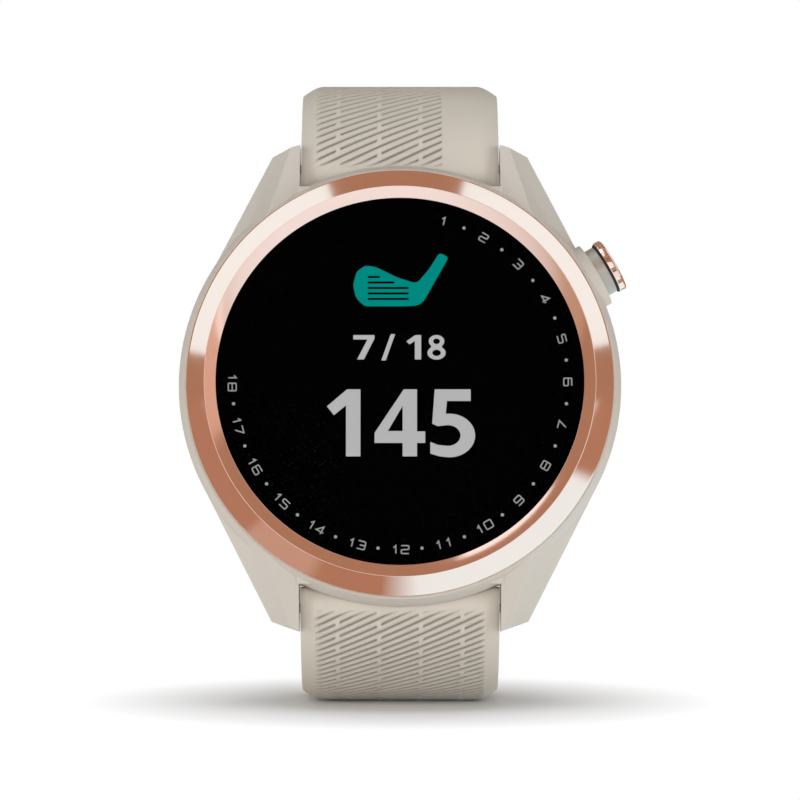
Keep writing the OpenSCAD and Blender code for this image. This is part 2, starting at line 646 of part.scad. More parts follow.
// Spring bars, whose right-hand pin is drawn in by a knob under the strap
module bar_tube() at_pose(path_start) {
  difference() {
    rod(tube_d, -bar_half, bar_half);
    rod(pin_d + 2 * run_gap, -tube_plug_x, strap_w);
    knob_slot(strap_t);
  }
  rod(pin_d, -tip_x, -bar_half);
}
module bar_spring() at_pose(path_start) difference() {
  rod(pin_d, -tube_plug_x, spring_len - tube_plug_x);
  rod(spring_bore_d, -strap_w, strap_w);
}
module release_pin() at_pose(path_start) {
  rod(pin_d, spring_len - tube_plug_x + release_travel + set_gap, tip_x);
  translate([knob_x, 0, 0]) rotate([-90, 0, 0]) cylinder(d = pin_d, h = knob_reach);
  translate([knob_x, eye_r, 0]) rotate([-90, 0, 0]) cylinder(d = knob_d, h = knob_reach - eye_r);
}
module upper_bar_tube() color(silver) on_upper() bar_tube();
module upper_bar_spring() color(silver) on_upper() bar_spring();
module upper_release_pin() color(silver) on_upper() release_pin();
module lower_bar_tube() color(silver) on_lower() bar_tube();
module lower_bar_spring() color(silver) on_lower() bar_spring();
module lower_release_pin() color(silver) on_lower() release_pin();

// Keepers, each a loop round the strap with room for the tail over it
module keeper(turn) {
  w = strap_end_w + 2 * keeper_gap;
  h = 2 * strap_t + 2 * keeper_gap;
  on_upper() at_pose(pose_at(upper_path, path_length(upper_path) - turn * upper_wrap_r * PI / 180))
    translate([0, -strap_t / 2, -keeper_len / 2]) linear_extrude(keeper_len) difference() {
      rounded_plate(w + 2 * keeper_wall, h + 2 * keeper_wall, 2 * keeper_wall);
      rounded_plate(w, h, keeper_wall / 2);
    }
}
module fixed_keeper() color(sand) keeper(fixed_keeper_turn);
module sliding_keeper() color(sand) keeper(loose_keeper_turn);

// Buckle
module buckle_pin() color(rose_gold) at_buckle()
  rod(buckle_pin_d, -buckle_gap / 2 - arm_w, buckle_gap / 2 + arm_w);
// A bar with its two far corners rounded, and a plate of such an outline that lies along the strap
module end_rounded(w, length, r) {
  translate([-w / 2, 0]) square([w, length - r]);
  translate([r - w / 2, 0]) square([w - 2 * r, length]);
  for (x = [-1, 1]) translate([x * (w / 2 - r), length - r]) circle(r);
}
module flat_plate(t) rotate([90, 0, 0]) linear_extrude(t, center = true) children();

module buckle_frame() color(rose_gold) at_buckle() difference() {
  union() {
    flat_plate(arm_t) difference() {
      end_rounded(buckle_gap + 2 * arm_w, buckle_len + cross_w / 2, buckle_corner_r);
      translate([0, -over]) end_rounded(buckle_gap, buckle_len - cross_w / 2 + over, buckle_inner_r);
    }
    for (x = [-1, 1]) translate([x * (buckle_gap + arm_w) / 2, 0, 0]) rod(arm_eye_d, -arm_w / 2, arm_w / 2);
  }
  rod(buckle_pin_d + 2 * run_gap, -strap_w, strap_w);
}
// The blade slopes so that it clears the near edge of the cross bar
module buckle_tongue() color(rose_gold) at_buckle() {
  slope = atan2(arm_t / 2 + set_gap + tongue_t / 2, buckle_len - cross_w / 2);
  difference() {
    union() {
      rod(barrel_d, -barrel_w / 2, barrel_w / 2);
      rotate([slope, 0, 0]) flat_plate(tongue_t)
        end_rounded(tongue_w, buckle_len + cross_w / 2, tongue_tip_r);
    }
    rod(buckle_pin_d + 2 * run_gap, -strap_w, strap_w);
  }
}

case_shell();
bezel_ring();
lens();
lens_gasket();
dial_ring();
display_panel();
display_carrier();
display_flex();
main_board();
rf_shield();
gps_antenna();
battery_cell();
battery_pad();
battery_tabs();
vibration_motor();
button_switch();
back_cover();
back_gasket();
back_screws();
charge_socket();
charge_contacts();
button_cap();
button_ring();
button_shank();
button_stem();
button_seal();
button_clip();
upper_strap();
upper_bar_tube();
upper_bar_spring();
upper_release_pin();
lower_strap();
lower_bar_tube();
lower_bar_spring();
lower_release_pin();
fixed_keeper();
sliding_keeper();
buckle_pin();
buckle_frame();
buckle_tongue();
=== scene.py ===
"""Looks of the golf watch: straps, case, bezel, dial, buckle and stage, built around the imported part."""
import json
import math

import bmesh
import bpy
from bpy.props import FloatProperty, FloatVectorProperty, IntProperty, PointerProperty
from mathutils import Matrix, Vector

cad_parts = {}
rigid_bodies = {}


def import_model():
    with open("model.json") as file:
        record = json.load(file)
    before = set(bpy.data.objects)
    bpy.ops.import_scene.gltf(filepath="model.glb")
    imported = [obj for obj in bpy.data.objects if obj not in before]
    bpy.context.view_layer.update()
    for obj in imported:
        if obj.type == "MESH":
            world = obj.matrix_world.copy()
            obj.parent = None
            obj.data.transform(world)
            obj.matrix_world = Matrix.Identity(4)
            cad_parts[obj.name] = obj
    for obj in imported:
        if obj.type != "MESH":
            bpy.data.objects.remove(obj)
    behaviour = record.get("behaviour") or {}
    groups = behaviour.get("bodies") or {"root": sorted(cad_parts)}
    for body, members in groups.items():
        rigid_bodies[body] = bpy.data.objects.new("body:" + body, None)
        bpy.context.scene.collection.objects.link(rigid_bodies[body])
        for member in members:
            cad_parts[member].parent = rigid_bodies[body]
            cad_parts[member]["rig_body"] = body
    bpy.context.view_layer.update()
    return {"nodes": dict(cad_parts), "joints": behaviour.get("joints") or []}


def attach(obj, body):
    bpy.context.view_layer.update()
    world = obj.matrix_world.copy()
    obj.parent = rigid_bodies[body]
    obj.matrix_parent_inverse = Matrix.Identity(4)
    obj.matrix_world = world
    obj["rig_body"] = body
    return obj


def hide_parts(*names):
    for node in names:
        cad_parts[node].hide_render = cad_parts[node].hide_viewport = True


bl_info = {
    "name": "Golf watch",
    "version": (1, 0, 0),
    "blender": (4, 5, 0),
    "location": "View3D > Sidebar > Watch",
    "description": "Builds the looks of a golf watch round its packed solids",
    "category": "Object",
}

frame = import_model()

MM = 0.001
JOINTS = {joint["name"]: joint for joint in frame["joints"]}


def joint_place(name):
    """The point that a joint turns about, in metres."""
    return Vector(JOINTS[name]["pos_m"])


UPPER_BAR = joint_place("upper_strap_swing")
LOWER_BAR = joint_place("lower_strap_swing")
WRIST_MIDDLE = joint_place("keeper_slide")

# Heights on the head, in millimetres above the face of the back cover
BAR_HEIGHT = 3.2
PANEL_TOP = 9.35
RING_TOP = 9.6
LENS_TOP = 10.9
BEZEL_SEAT = 8.2
BEZEL_RIDGE = 11.4
BEZEL_LEDGE = 8.95

# Radius of the bezel's seat on the case, and how steeply its two facets fall from the ridge
BEZEL_LIP = 18.95
FACET_SLOPE = 1.041
DISH_SLOPE = 0.385

# Places on the back and sizes of the button's cap, in millimetres
SCREW_CIRCLE = 15.5
CONTACT_PITCH = 1.7
SOCKET_DOWN = -10.5
CAP_RADIUS = 2.775
CAP_SEAT = 23.8
CAP_TOP = 24.58


def head_place():
    """Takes millimetres on the head, with x to 3 o'clock, y to 12 and z out of the dial, to the frame."""
    up = (UPPER_BAR - LOWER_BAR).normalized()
    right = Vector((1, 0, 0))
    out = right.cross(up)
    middle = (UPPER_BAR + LOWER_BAR) / 2 - out * BAR_HEIGHT * MM
    turn = Matrix((right, up, out)).transposed().to_4x4()
    return Matrix.Translation(middle) @ turn @ Matrix.Scale(MM, 4)


HEAD = head_place()
HEAD_METRES = HEAD @ Matrix.Scale(1 / MM, 4)
BUTTON = (HEAD @ Matrix.Rotation(math.radians(30), 4, "Z") @ Matrix.Translation((0, 0, 4.2))
          @ Matrix.Rotation(math.radians(90), 4, "Y"))
BUTTON_METRES = BUTTON @ Matrix.Scale(1 / MM, 4)


# Sizes and colours that a user would change
def length(name, description, value):
    """A length property whose default is given in millimetres."""
    return FloatProperty(name=name, description=description, default=value * MM, unit="LENGTH", precision=5)


def colour(name, description, value):
    """A colour property in linear light."""
    return FloatVectorProperty(name=name, description=description, default=value, size=3, min=0, max=1,
                               subtype="COLOR")


class StrapSizes(bpy.types.PropertyGroup):
    """Sizes of the straps and their grooves."""
    groove_pitch: length("Groove pitch", "Distance between grooves along the upper strap", 0.79)
    lower_pitch: length("Lower pitch", "Distance between grooves along the lower strap", 0.71)
    groove_width: length("Groove width", "Width of a groove at the face of the strap", 0.3)
    groove_depth: length("Groove depth", "Depth of a groove", 0.29)
    groove_slant: FloatProperty(name="Groove slant", description="Rise of the grooves to the right",
                                default=math.radians(25), unit="ROTATION")
    dash: length("Dash", "Distance across the strap between two breaks of a groove", 8.26)
    dash_gap: length("Dash gap", "Width of a break in a groove", 0.36)
    bevel_width: length("Bevel width", "Width of the rounded bevel along the outer edges", 1.9)
    bevel_depth: length("Bevel depth", "Depth of the rounded bevel along the outer edges", 1.0)
    hole_count: IntProperty(name="Holes", description="Number of holes in the tail", default=11, min=0)
    hole_width: length("Hole width", "Diameter of a hole in the tail", 2.3)
    hole_pitch: length("Hole pitch", "Distance between holes in the tail", 5.5)


class HeadSizes(bpy.types.PropertyGroup):
    """Sizes of the bezel, the dial and the button."""
    bezel_radius: length("Bezel radius", "Outer radius of the bezel", 21.06)
    ridge_radius: length("Ridge radius", "Radius of the ridge between the bezel's two facets", 19.22)
    window_radius: length("Window radius", "Radius of the opening in the bezel", 18.06)
    number_radius: length("Number radius", "Radius of the circle of numbers", 16.5)
    number_height: length("Number height", "Height of the numbers on the dial", 0.78)
    dot_radius: length("Dot radius", "Radius of a dot between two numbers", 0.16)
    edge_round: length("Edge rounding", "Rounding of the case's edges", 0.14)
    notch_count: IntProperty(name="Notches", description="Number of notches round the button's cap",
                             default=12, min=3)


class WatchColours(bpy.types.PropertyGroup):
    """Colours of the watch."""
    sand: colour("Sand", "Straps and keepers", (0.64, 0.583, 0.507))
    sand_case: colour("Case sand", "Case and back cover", (0.61, 0.56, 0.497))
    rose_gold: colour("Rose gold", "Bezel, cap and buckle", (0.80, 0.51, 0.425))
    steel: colour("Steel", "Shank, screws and spring bars", (0.43, 0.36, 0.31))
    # The club and the figures glow with these colours as painted light
    club: colour("Club", "Picture of the club on the display", (0.0, 0.255, 0.22))
    figures: colour("Figures", "Large figures on the display", (0.475, 0.475, 0.475))
    print: colour("Print", "Numbers printed round the dial", (0.36, 0.36, 0.37))


# Node trees
class Value:
    """What a node gives out. Python's operators on it add Math nodes to its tree."""

    def __init__(self, tree, socket):
        self.tree = tree
        self.socket = socket

    def of(self, name):
        """Another output of the same node."""
        return Value(self.tree, self.socket.node.outputs[name])

    def math(self, operation, *others, clamp=False):
        """The result of a Math node whose first value is this one."""
        settings = {"operation": operation, "use_clamp": clamp}
        return self.tree.node("ShaderNodeMath", settings, dict(enumerate((self, *others))))

    def __add__(self, other):
        return self.math("ADD", other)

    def __sub__(self, other):
        return self.math("SUBTRACT", other)

    def __rsub__(self, other):
        return self.tree.node("ShaderNodeMath", {"operation": "SUBTRACT"}, {0: other, 1: self})

    def __mul__(self, other):
        return self.math("MULTIPLY", other)

    def __truediv__(self, other):
        return self.math("DIVIDE", other)

    def __abs__(self):
        return self.math("ABSOLUTE")

    def held(self):
        """This value kept between 0 and 1."""
        return self.math("ADD", 0.0, clamp=True)

    __radd__ = __add__
    __rmul__ = __mul__


class Tree:
    """Adds nodes to a shader or geometry tree."""

    def __init__(self, nodes):
        self.nodes = nodes

    def node(self, kind, settings=None, sockets=None):
        """Adds a node, makes its settings, then fills its sockets with values or links."""
        made = self.nodes.nodes.new(kind)
        for name, value in (settings or {}).items():
            setattr(made, name, value)
        for key, value in (sockets or {}).items():
            self.fill(made.inputs[key], value)
        return Value(self, made.outputs[0]) if made.outputs else made

    def fill(self, socket, value):
        """Links a value to a socket, or sets the socket's own number."""
        if isinstance(value, Value):
            self.nodes.links.new(value.socket, socket)
        else:
            socket.default_value = value

    def split(self, vector):
        """The three numbers of a vector."""
        made = self.node("ShaderNodeSeparateXYZ", {}, {0: vector})
        return made, made.of(1), made.of(2)

    def join(self, x, y, z):
        """A vector of three numbers."""
        return self.node("ShaderNodeCombineXYZ", {}, {0: x, 1: y, 2: z})

    def vector(self, operation, first, second):
        """The result of a Vector Math node on two vectors."""
        return self.node("ShaderNodeVectorMath", {"operation": operation}, {0: first, 1: second})

    def scaled(self, vector, amount):
        """A vector times a number."""
        return self.node("ShaderNodeVectorMath", {"operation": "SCALE"}, {0: vector, "Scale": amount})


class Finish(Tree):
    """A material whose Principled shader takes its sockets from expressions."""

    def __init__(self, name, **constants):
        self.material = bpy.data.materials.new(name)
        self.material.use_nodes = True
        super().__init__(self.material.node_tree)
        self.shader = self.nodes.nodes["Principled BSDF"]
        self.place = self.node("ShaderNodeTexCoord").of("Object")
        for socket, value in constants.items():
            self.set(socket.replace("_", " "), value)

    def set(self, socket, value):
        """Fills one socket of the shader."""
        self.fill(self.shader.inputs[socket], value)

    def noise(self, scale, detail=2.0, place=None):
        """Soft noise of about 0 to 1, with scale features to the metre."""
        sockets = {"Vector": place or self.place, "Scale": scale, "Detail": detail, "Roughness": 0.55}
        return self.node("ShaderNodeTexNoise", {}, sockets)

    def mix(self, first, second, share):
        """A colour between two colours."""
        kind = {"data_type": "RGBA"}
        ends = [(*end, 1) if isinstance(end, tuple) else end for end in (first, second)]
        return self.node("ShaderNodeMix", kind, {0: share, 6: ends[0], 7: ends[1]}).of(2)

    def bump(self, height, distance, strength=1.0):
        """Gives the surface a fine relief of that height in metres."""
        sockets = {"Strength": strength, "Distance": distance, "Height": height}
        self.set("Normal", self.node("ShaderNodeBump", {}, sockets))

    def stretched(self, x, y, z):
        """Object coordinates stretched by a factor on each axis."""
        return self.node("ShaderNodeMapping", {}, {"Vector": self.place, "Scale": (x, y, z)})


def shade(base, factor):
    """A colour made lighter or darker."""
    return tuple(min(1.0, part * factor) for part in base)


def watch_colour(name):
    """A colour that the user has set."""
    return tuple(getattr(bpy.context.scene.watch_colours, name))


# Finishes
def sand_silicone():
    """Matt silicone with a fine grain, and painted shade darkening its grooves."""
    sand = watch_colour("sand")
    made = Finish("sand_silicone", IOR=1.42, Specular_IOR_Level=0.06)
    cloud = made.noise(160, 3)
    grain = made.noise(7000, 2)
    groove = made.node("ShaderNodeAttribute", {"attribute_name": "groove"}).of("Fac")
    face = made.mix(shade(sand, 0.94), shade(sand, 1.05), cloud * 0.7 + grain * 0.3)
    # Painted shade: the grooves are darkened to 0.4 of the sand colour, as if shade lay in them
    made.set("Base Color", made.mix(face, shade(sand, 0.4), groove * 0.75))
    made.set("Roughness", 0.5 + grain * 0.16 + groove * 0.15)
    made.bump(grain, 0.008 * MM)
    return made.material


def sand_polymer():
    """Moulded polymer with a satin grain."""
    sand = watch_colour("sand_case")
    made = Finish("sand_polymer", IOR=1.5, Specular_IOR_Level=0.08)
    cloud = made.noise(110, 3)
    grain = made.noise(9000, 2)
    made.set("Base Color", made.mix(shade(sand, 0.96), shade(sand, 1.03), cloud * 0.6 + grain * 0.4))
    made.set("Roughness", 0.42 + grain * 0.14)
    made.bump(grain, 0.006 * MM)
    return made.material


def rose_gold():
    """Polished plated metal with faint streaks, rougher in the notches of the cap, which painted shade
    darkens to deep brown.
    """
    gold = watch_colour("rose_gold")
    made = Finish("rose_gold", Metallic=1.0)
    streak = made.noise(900, 3, made.stretched(1, 0.25, 1))
    cloud = made.noise(120, 2)
    notch = made.node("ShaderNodeAttribute", {"attribute_name": "notch"}).of("Fac")
    face = made.mix(shade(gold, 0.95), shade(gold, 1.04), cloud * 0.5 + streak * 0.5)
    # Painted shade: the notches of the cap are darkened towards a deep brown
    made.set("Base Color", made.mix(face, (0.42, 0.2, 0.11), notch * 0.9))
    made.set("Roughness", 0.09 + streak * 0.06 + notch * 0.3)
    made.bump(streak, 0.0012 * MM)
    return made.material


def steel():
    """Satin steel, brushed along x."""
    grey = watch_colour("steel")
    made = Finish("steel", Metallic=0.4)
    brushed = made.noise(9000, 2, made.stretched(0.04, 1, 1))
    made.set("Base Color", made.mix(shade(grey, 0.88), shade(grey, 1.08), brushed))
    made.set("Roughness", 0.32 + brushed * 0.16)
    made.bump(brushed, 0.003 * MM)
    return made.material


def lens_glass():
    """Clear coated glass that shows almost no reflection."""
    made = Finish("lens_glass", IOR=1.15)
    smear = made.noise(60, 3)
    made.set("Base Color", made.mix((0.002, 0.002, 0.002), (0.004, 0.004, 0.005), smear))
    made.set("Roughness", 0.03 + smear * 0.03)
    made.set("Alpha", 0.02 + smear * 0.015)
    return made.material


def black_print():
    """Deep black print with the faint cells of the display."""
    made = Finish("black_print", Specular_IOR_Level=0.0)
    cells = made.node("ShaderNodeTexVoronoi", {"distance": "CHEBYCHEV"},
                      {"Vector": made.place, "Scale": 6000.0, "Randomness": 0.0})
    made.set("Base Color", made.mix((0.0002, 0.0002, 0.0002), (0.0005, 0.0005, 0.0006), cells))
    made.set("Roughness", 0.32 + cells * 0.2)
    return made.material


def lit(name, light):
    """A part of the display that glows with painted light in place of the light it would reflect, crossed by
    the dark lines between its cells.
    """
    made = Finish(name, Specular_IOR_Level=0.0, Emission_Strength=1.0, Roughness=0.4)
    made.set("Base Color", (*shade(light, 0.02), 1))
    across, _, up = made.split(made.scaled(made.place, 1 / (0.16 * MM)))
    line = (across.math("FRACT") - 0.88).math("SIGN").held() + (up.math("FRACT") - 0.88).math("SIGN").held()
    glow = made.noise(400, 1)
    dim = line.held() * 0.7 + glow * 0.3
    # Painted light: this colour glows at strength 1 instead of being lit through the lens
    made.set("Emission Color", made.mix(shade(light, 1.02), shade(light, 0.9), dim))
    return made.material


def printed_ink():
    """Grey ink on the dial, a little uneven."""
    ink = watch_colour("print")
    made = Finish("printed_ink", IOR=1.3)
    spots = made.noise(3500, 2)
    made.set("Base Color", made.mix(shade(ink, 0.8), shade(ink, 1.15), spots))
    made.set("Roughness", 0.5 + spots * 0.2)
    return made.material


def grained(name, scale, detail, dark, light, rough, spread, relief, **constants):
    """A finish whose colour, roughness and relief in millimetres all follow one noise."""
    made = Finish(name, **constants)
    grain = made.noise(scale, detail)
    made.set("Base Color", made.mix(dark, light, grain))
    made.set("Roughness", rough + grain * spread)
    made.bump(grain, relief * MM)
    return made.material


def black_rubber():
    """Matt black rubber."""
    dark = (0.008, 0.008, 0.008)
    light = (0.02, 0.02, 0.02)
    return grained("black_rubber", 8000, 2, dark, light, 0.62, 0.2, 0.006, IOR=1.45)


def dark_plastic():
    """Dark moulded plastic."""
    dark = (0.018, 0.018, 0.02)
    light = (0.04, 0.04, 0.043)
    return grained("dark_plastic", 6000, 3, dark, light, 0.45, 0.2, 0.006, IOR=1.48)


def amber_film():
    """Amber film crossed by copper tracks."""
    made = Finish("amber_film", IOR=1.5)
    across = made.split(made.scaled(made.place, 1 / (0.7 * MM)))[0]
    track = (across.math("FRACT") - 0.55).math("SIGN").held()
    worn = made.noise(900, 2)
    made.set("Base Color", made.mix((0.52, 0.2, 0.02), (0.36, 0.11, 0.012), track * 0.7 + worn * 0.3))
    made.set("Roughness", 0.22 + worn * 0.12)
    made.bump(track, 0.01 * MM)
    return made.material


def circuit_board():
    """Green solder mask over tracks and ground."""
    made = Finish("circuit_board", IOR=1.5)
    tracks = made.node("ShaderNodeTexBrick", {"offset": 0.5},
                       {"Vector": made.place, "Scale": 520.0, "Mortar Size": 0.06, "Mortar Smooth": 0.1,
                        "Color1": (0, 0, 0, 1), "Color2": (0.25, 0.25, 0.25, 1),
                        "Mortar": (1, 1, 1, 1)}).of("Fac")
    cloud = made.noise(700, 3)
    made.set("Base Color", made.mix((0.006, 0.05, 0.025), (0.02, 0.13, 0.065), tracks * 0.75 + cloud * 0.25))
    made.set("Roughness", 0.26 + cloud * 0.16)
    made.bump(tracks, 0.012 * MM)
    return made.material


def antenna_ceramic():
    """Fired ceramic with small dark specks."""
    dark = (0.42, 0.33, 0.2)
    light = (0.66, 0.56, 0.4)
    return grained("antenna_ceramic", 2600, 3, dark, light, 0.5, 0.25, 0.01, IOR=1.6)


def cell_foil():
    """Laminated foil with soft creases."""
    dark = (0.44, 0.45, 0.47)
    light = (0.62, 0.63, 0.65)
    return grained("cell_foil", 260, 4, dark, light, 0.28, 0.2, 0.1, Metallic=1.0)


def white_foam():
    """Open foam."""
    made = Finish("white_foam", IOR=1.4)
    cells = made.node("ShaderNodeTexVoronoi", {}, {"Vector": made.place, "Scale": 3500.0})
    made.set("Base Color", made.mix((0.52, 0.52, 0.51), (0.76, 0.76, 0.74), cells))
    made.set("Roughness", 0.8 + cells * 0.15)
    made.bump(cells, 0.05 * MM)
    return made.material


def gold_plate():
    """Thin gold plating."""
    dark = (0.72, 0.48, 0.16)
    light = (0.84, 0.62, 0.27)
    return grained("gold_plate", 4000, 3, dark, light, 0.18, 0.14, 0.002, Metallic=1.0)


def lit_club():
    """The picture of the club on the display, glowing as painted light."""
    return lit("lit_club", watch_colour("club"))


def lit_figures():
    """The large figures on the display, glowing as painted light."""
    return lit("lit_figures", watch_colour("figures"))


FINISHES = (sand_silicone, sand_polymer, rose_gold, steel, lens_glass, black_print, black_rubber,
            dark_plastic, amber_film, circuit_board, antenna_ceramic, cell_foil, white_foam, gold_plate,
            printed_ink, lit_club, lit_figures)


def finish(name):
    """The material of that name, made when it is first asked for."""
    found = bpy.data.materials.get("finish_" + name)
    if found:
        return found
    made = next(maker for maker in FINISHES if maker.__name__ == name)()
    made.name = "finish_" + name
    return made


# Meshes
def plain_mesh(name, points, faces, place):
    """A mesh from points in millimetres, taken to the frame."""
    mesh = bpy.data.meshes.new(name)
    mesh.from_pydata([place @ Vector(point) for point in points], [], faces)
    return mesh


def closed(mesh, distance=0.0005 * MM):
    """Merges doubles, drops loose edges and turns every face outwards."""
    work = bmesh.new()
    work.from_mesh(mesh)
    bmesh.ops.remove_doubles(work, verts=work.verts, dist=distance)
    loose = [edge for edge in work.edges if not edge.link_faces]
    bmesh.ops.delete(work, geom=loose, context="EDGES")
    bmesh.ops.recalc_face_normals(work, faces=work.faces)
    work.to_mesh(mesh)
    work.free()
    return mesh


def shown(name, mesh, body, finish_name, nodes=(), crease=32):
    """Makes a finished piece of a mesh, on its body and in place of its solids."""
    mesh.name = name
    if not mesh.materials:
        mesh.materials.append(finish(finish_name))
    mesh.polygons.foreach_set("use_smooth", [True] * len(mesh.polygons))
    mesh.set_sharp_from_angle(angle=math.radians(crease))
    piece = bpy.data.objects.new(name, mesh)
    bpy.context.scene.collection.objects.link(piece)
    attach(piece, body)
    if nodes:
        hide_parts(*nodes)
    return piece


def body_of(node):
    """The body that a solid rides on."""
    return frame["nodes"][node]["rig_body"]


def softened(node, width, segments=3, angle=28):
    """A copy of a solid with its edges rounded to a width in metres."""
    mesh = frame["nodes"][node].data.copy()
    slot = mesh.materials[0].name
    mesh.materials.clear()
    work = bmesh.new()
    work.from_mesh(mesh)
    bmesh.ops.remove_doubles(work, verts=work.verts, dist=0.002 * MM)
    flat = math.radians(0.6)
    bmesh.ops.dissolve_limit(work, angle_limit=flat, use_dissolve_boundaries=False, verts=work.verts,
                             edges=work.edges)
    for layer in [*work.loops.layers.float_vector.values()]:
        work.loops.layers.float_vector.remove(layer)
    work.to_mesh(mesh)
    work.free()
    if "custom_normal" in mesh.attributes:
        mesh.attributes.remove(mesh.attributes["custom_normal"])
    piece = shown(node + "_soft", mesh, body_of(node), slot, (node,), crease=angle)
    bevel = piece.modifiers.new("Rounded edges", "BEVEL")
    bevel.width = width
    bevel.segments = segments
    bevel.limit_method = "ANGLE"
    bevel.angle_limit = math.radians(angle)
    bevel.harden_normals = True
    bevel.use_clamp_overlap = True
    return piece


# Geometry Nodes
SOCKET_KINDS = {bool: "NodeSocketBool", int: "NodeSocketInt", float: "NodeSocketFloat",
                bpy.types.Material: "NodeSocketMaterial", bpy.types.Object: "NodeSocketObject"}


class Growth(Tree):
    """A geometry tree with named inputs, which ends in Realize Instances and Set Material."""

    def __init__(self, name, **values):
        group = bpy.data.node_groups.new(name, "GeometryNodeTree")
        super().__init__(group)
        group.interface.new_socket("Geometry", in_out="INPUT", socket_type="NodeSocketGeometry")
        self.values = {key.replace("_", " "): value for key, value in values.items()}
        for key, value in self.values.items():
            group.interface.new_socket(key, in_out="INPUT", socket_type=SOCKET_KINDS[type(value)])
        group.interface.new_socket("Geometry", in_out="OUTPUT", socket_type="NodeSocketGeometry")
        self.start = self.node("NodeGroupInput")

    def input(self, name):
        """One of the tree's named inputs."""
        return self.start.of(name)

    def inputs(self, *names):
        """Several of the tree's named inputs."""
        return [self.start.of(name) for name in names]

    def object(self, name):
        """The geometry of an object that is an input."""
        return self.node("GeometryNodeObjectInfo", {}, {"Object": self.input(name)}).of("Geometry")

    def made(self, geometry, start=None):
        """Ends the tree with this geometry and returns the plain mesh that it makes."""
        real = self.node("GeometryNodeRealizeInstances", {}, {0: geometry})
        painted = self.node("GeometryNodeSetMaterial", {},
                            {"Geometry": real, "Material": self.input("Finish")})
        self.node("NodeGroupOutput", {}, {0: painted})
        seed = bpy.data.objects.new("seed", start or bpy.data.meshes.new("seed"))
        bpy.context.scene.collection.objects.link(seed)
        modifier = seed.modifiers.new("Growth", "NODES")
        modifier.node_group = self.nodes
        for item in self.nodes.interface.items_tree:
            if item.in_out == "INPUT" and item.name in self.values:
                modifier[item.identifier] = self.values[item.name]
        grown = seed.evaluated_get(bpy.context.evaluated_depsgraph_get())
        mesh = bpy.data.meshes.new_from_object(grown)
        bpy.data.objects.remove(seed)
        if not mesh.polygons:
            raise RuntimeError("no faces came out of " + self.nodes.name)
        return mesh


def helper(name, mesh_or_curve):
    """A scratch object that feeds a tree and is removed after it."""
    made = bpy.data.objects.new(name, mesh_or_curve)
    bpy.context.scene.collection.objects.link(made)
    return made


def turned(name, profile, finish_name, segments=320):
    """A ring or disc turned from a profile of (radius, height) points in millimetres, in metres."""
    tree = Growth("Turned " + name, Path_radius=1 * MM, Segments=segments, Finish=finish(finish_name))
    outline = tree.node("GeometryNodeMeshToCurve", {}, {0: tree.start})
    path = tree.node("GeometryNodeCurvePrimitiveCircle", {}, {"Resolution": tree.input("Segments"),
                                                              "Radius": tree.input("Path radius")})
    swept = tree.node("GeometryNodeCurveToMesh", {}, {"Curve": path, "Profile Curve": outline})
    points = [((radius - 1) * MM, -height * MM, 0) for radius, height in profile]
    start = bpy.data.meshes.new(name)
    start.from_pydata(points, [(i, (i + 1) % len(points)) for i in range(len(points))], [])
    return closed(tree.made(swept, start))


def rounded(profile, radius, steps=4, ring=True):
    """A profile with its corners rounded, at most to the middle of a side. An open one keeps its ends."""
    points = []
    for i, corner in enumerate(profile):
        if not ring and i in (0, len(profile) - 1):
            points.append(tuple(corner))
            continue
        middle = Vector(corner)
        back = Vector(profile[i - 1]) - middle
        ahead = Vector(profile[(i + 1) % len(profile)]) - middle
        reach = min(radius, back.length * 0.45, ahead.length * 0.45)
        first = middle + back.normalized() * reach
        last = middle + ahead.normalized() * reach
        for step in range(steps + 1):
            share = step / steps
            point = first.lerp(middle, share).lerp(middle.lerp(last, share), share)
            points.append((point.x, point.y))
    return points


# Straps
STRAP_HALF = 9.9
STRAP_END_HALF = 8.9
HALF_THICK = 1.4
EYE = 1.9
EYE_TOP = 1.81
NOSE_FLAT = 0.6
NOSE_ROUND = 1.6
STRAP_START = 20
TIP_RADIUS = 10.6
TIP_BACK = 10.9
FIRST_BEND = 70
UPPER_BEND = 11.7
LOWER_BEND = 13
WRAP_RADIUS = 32
FLAT_REST = 30
KEEPER_HALF = 2.5
KEEPER_WALL = 1.2


class StrapRun:
    """One half of the strap: the line that it follows and its outline."""

    def __init__(self, name, bar, steps, side, taper, tail):
        self.name = name
        self.bar = bar / MM
        self.steps = steps
        self.side = side
        self.taper = taper
        self.tail = tail
        self.length = sum(self.step_length(step) for step in steps)

    @staticmethod
    def step_length(step):
        """Length of a straight, given as (0, length), or of a bend, given as (turn, radius)."""
        turn, size = step
        return math.radians(turn) * size if turn else size

    def line(self, spacing=0.25):
        """Points along the middle of the strap, in millimetres."""
        place = Vector((0, self.bar.y, self.bar.z))
        heading = math.radians(STRAP_START)
        points = [place.copy()]
        for turn, size in self.steps:
            count = max(2, round(self.step_length((turn, size)) / spacing))
            bend = math.radians(turn) / count
            stride = 2 * size * math.sin(bend / 2) if turn else size / count
            for _ in range(count):
                heading += bend / 2
                place += Vector((0, math.sin(heading), self.side * math.cos(heading))) * stride
                heading += bend / 2
                points.append(place.copy())
        return points

    def half_width(self, along):
        """Half the width of the strap at a distance along it."""
        first, last, bent = self.taper
        share = min(max((along - first) / (last - first), 0), 1)
        if bent:
            share = math.sin(share * math.radians(bent)) / math.sin(math.radians(bent))
        half = STRAP_HALF + (STRAP_END_HALF - STRAP_HALF) * share
        past = along - (self.length - TIP_BACK)
        if self.tail and past > 0:
            half = min(half, math.sqrt(max(TIP_RADIUS ** 2 - past ** 2, 0)))
        return half

    def from_edge(self, across, along):
        """Distance of a point of the flat strap from its outline."""
        inside = self.half_width(along) - abs(across)
        past = along - (self.length - TIP_BACK)
        if self.tail and past > 0:
            inside = min(inside, TIP_RADIUS - math.hypot(across, past))
        return max(inside, 0)


def ease(share):
    """A smooth step from 0 to 1."""
    held = min(max(share, 0), 1)
    return held * held * (3 - 2 * held)


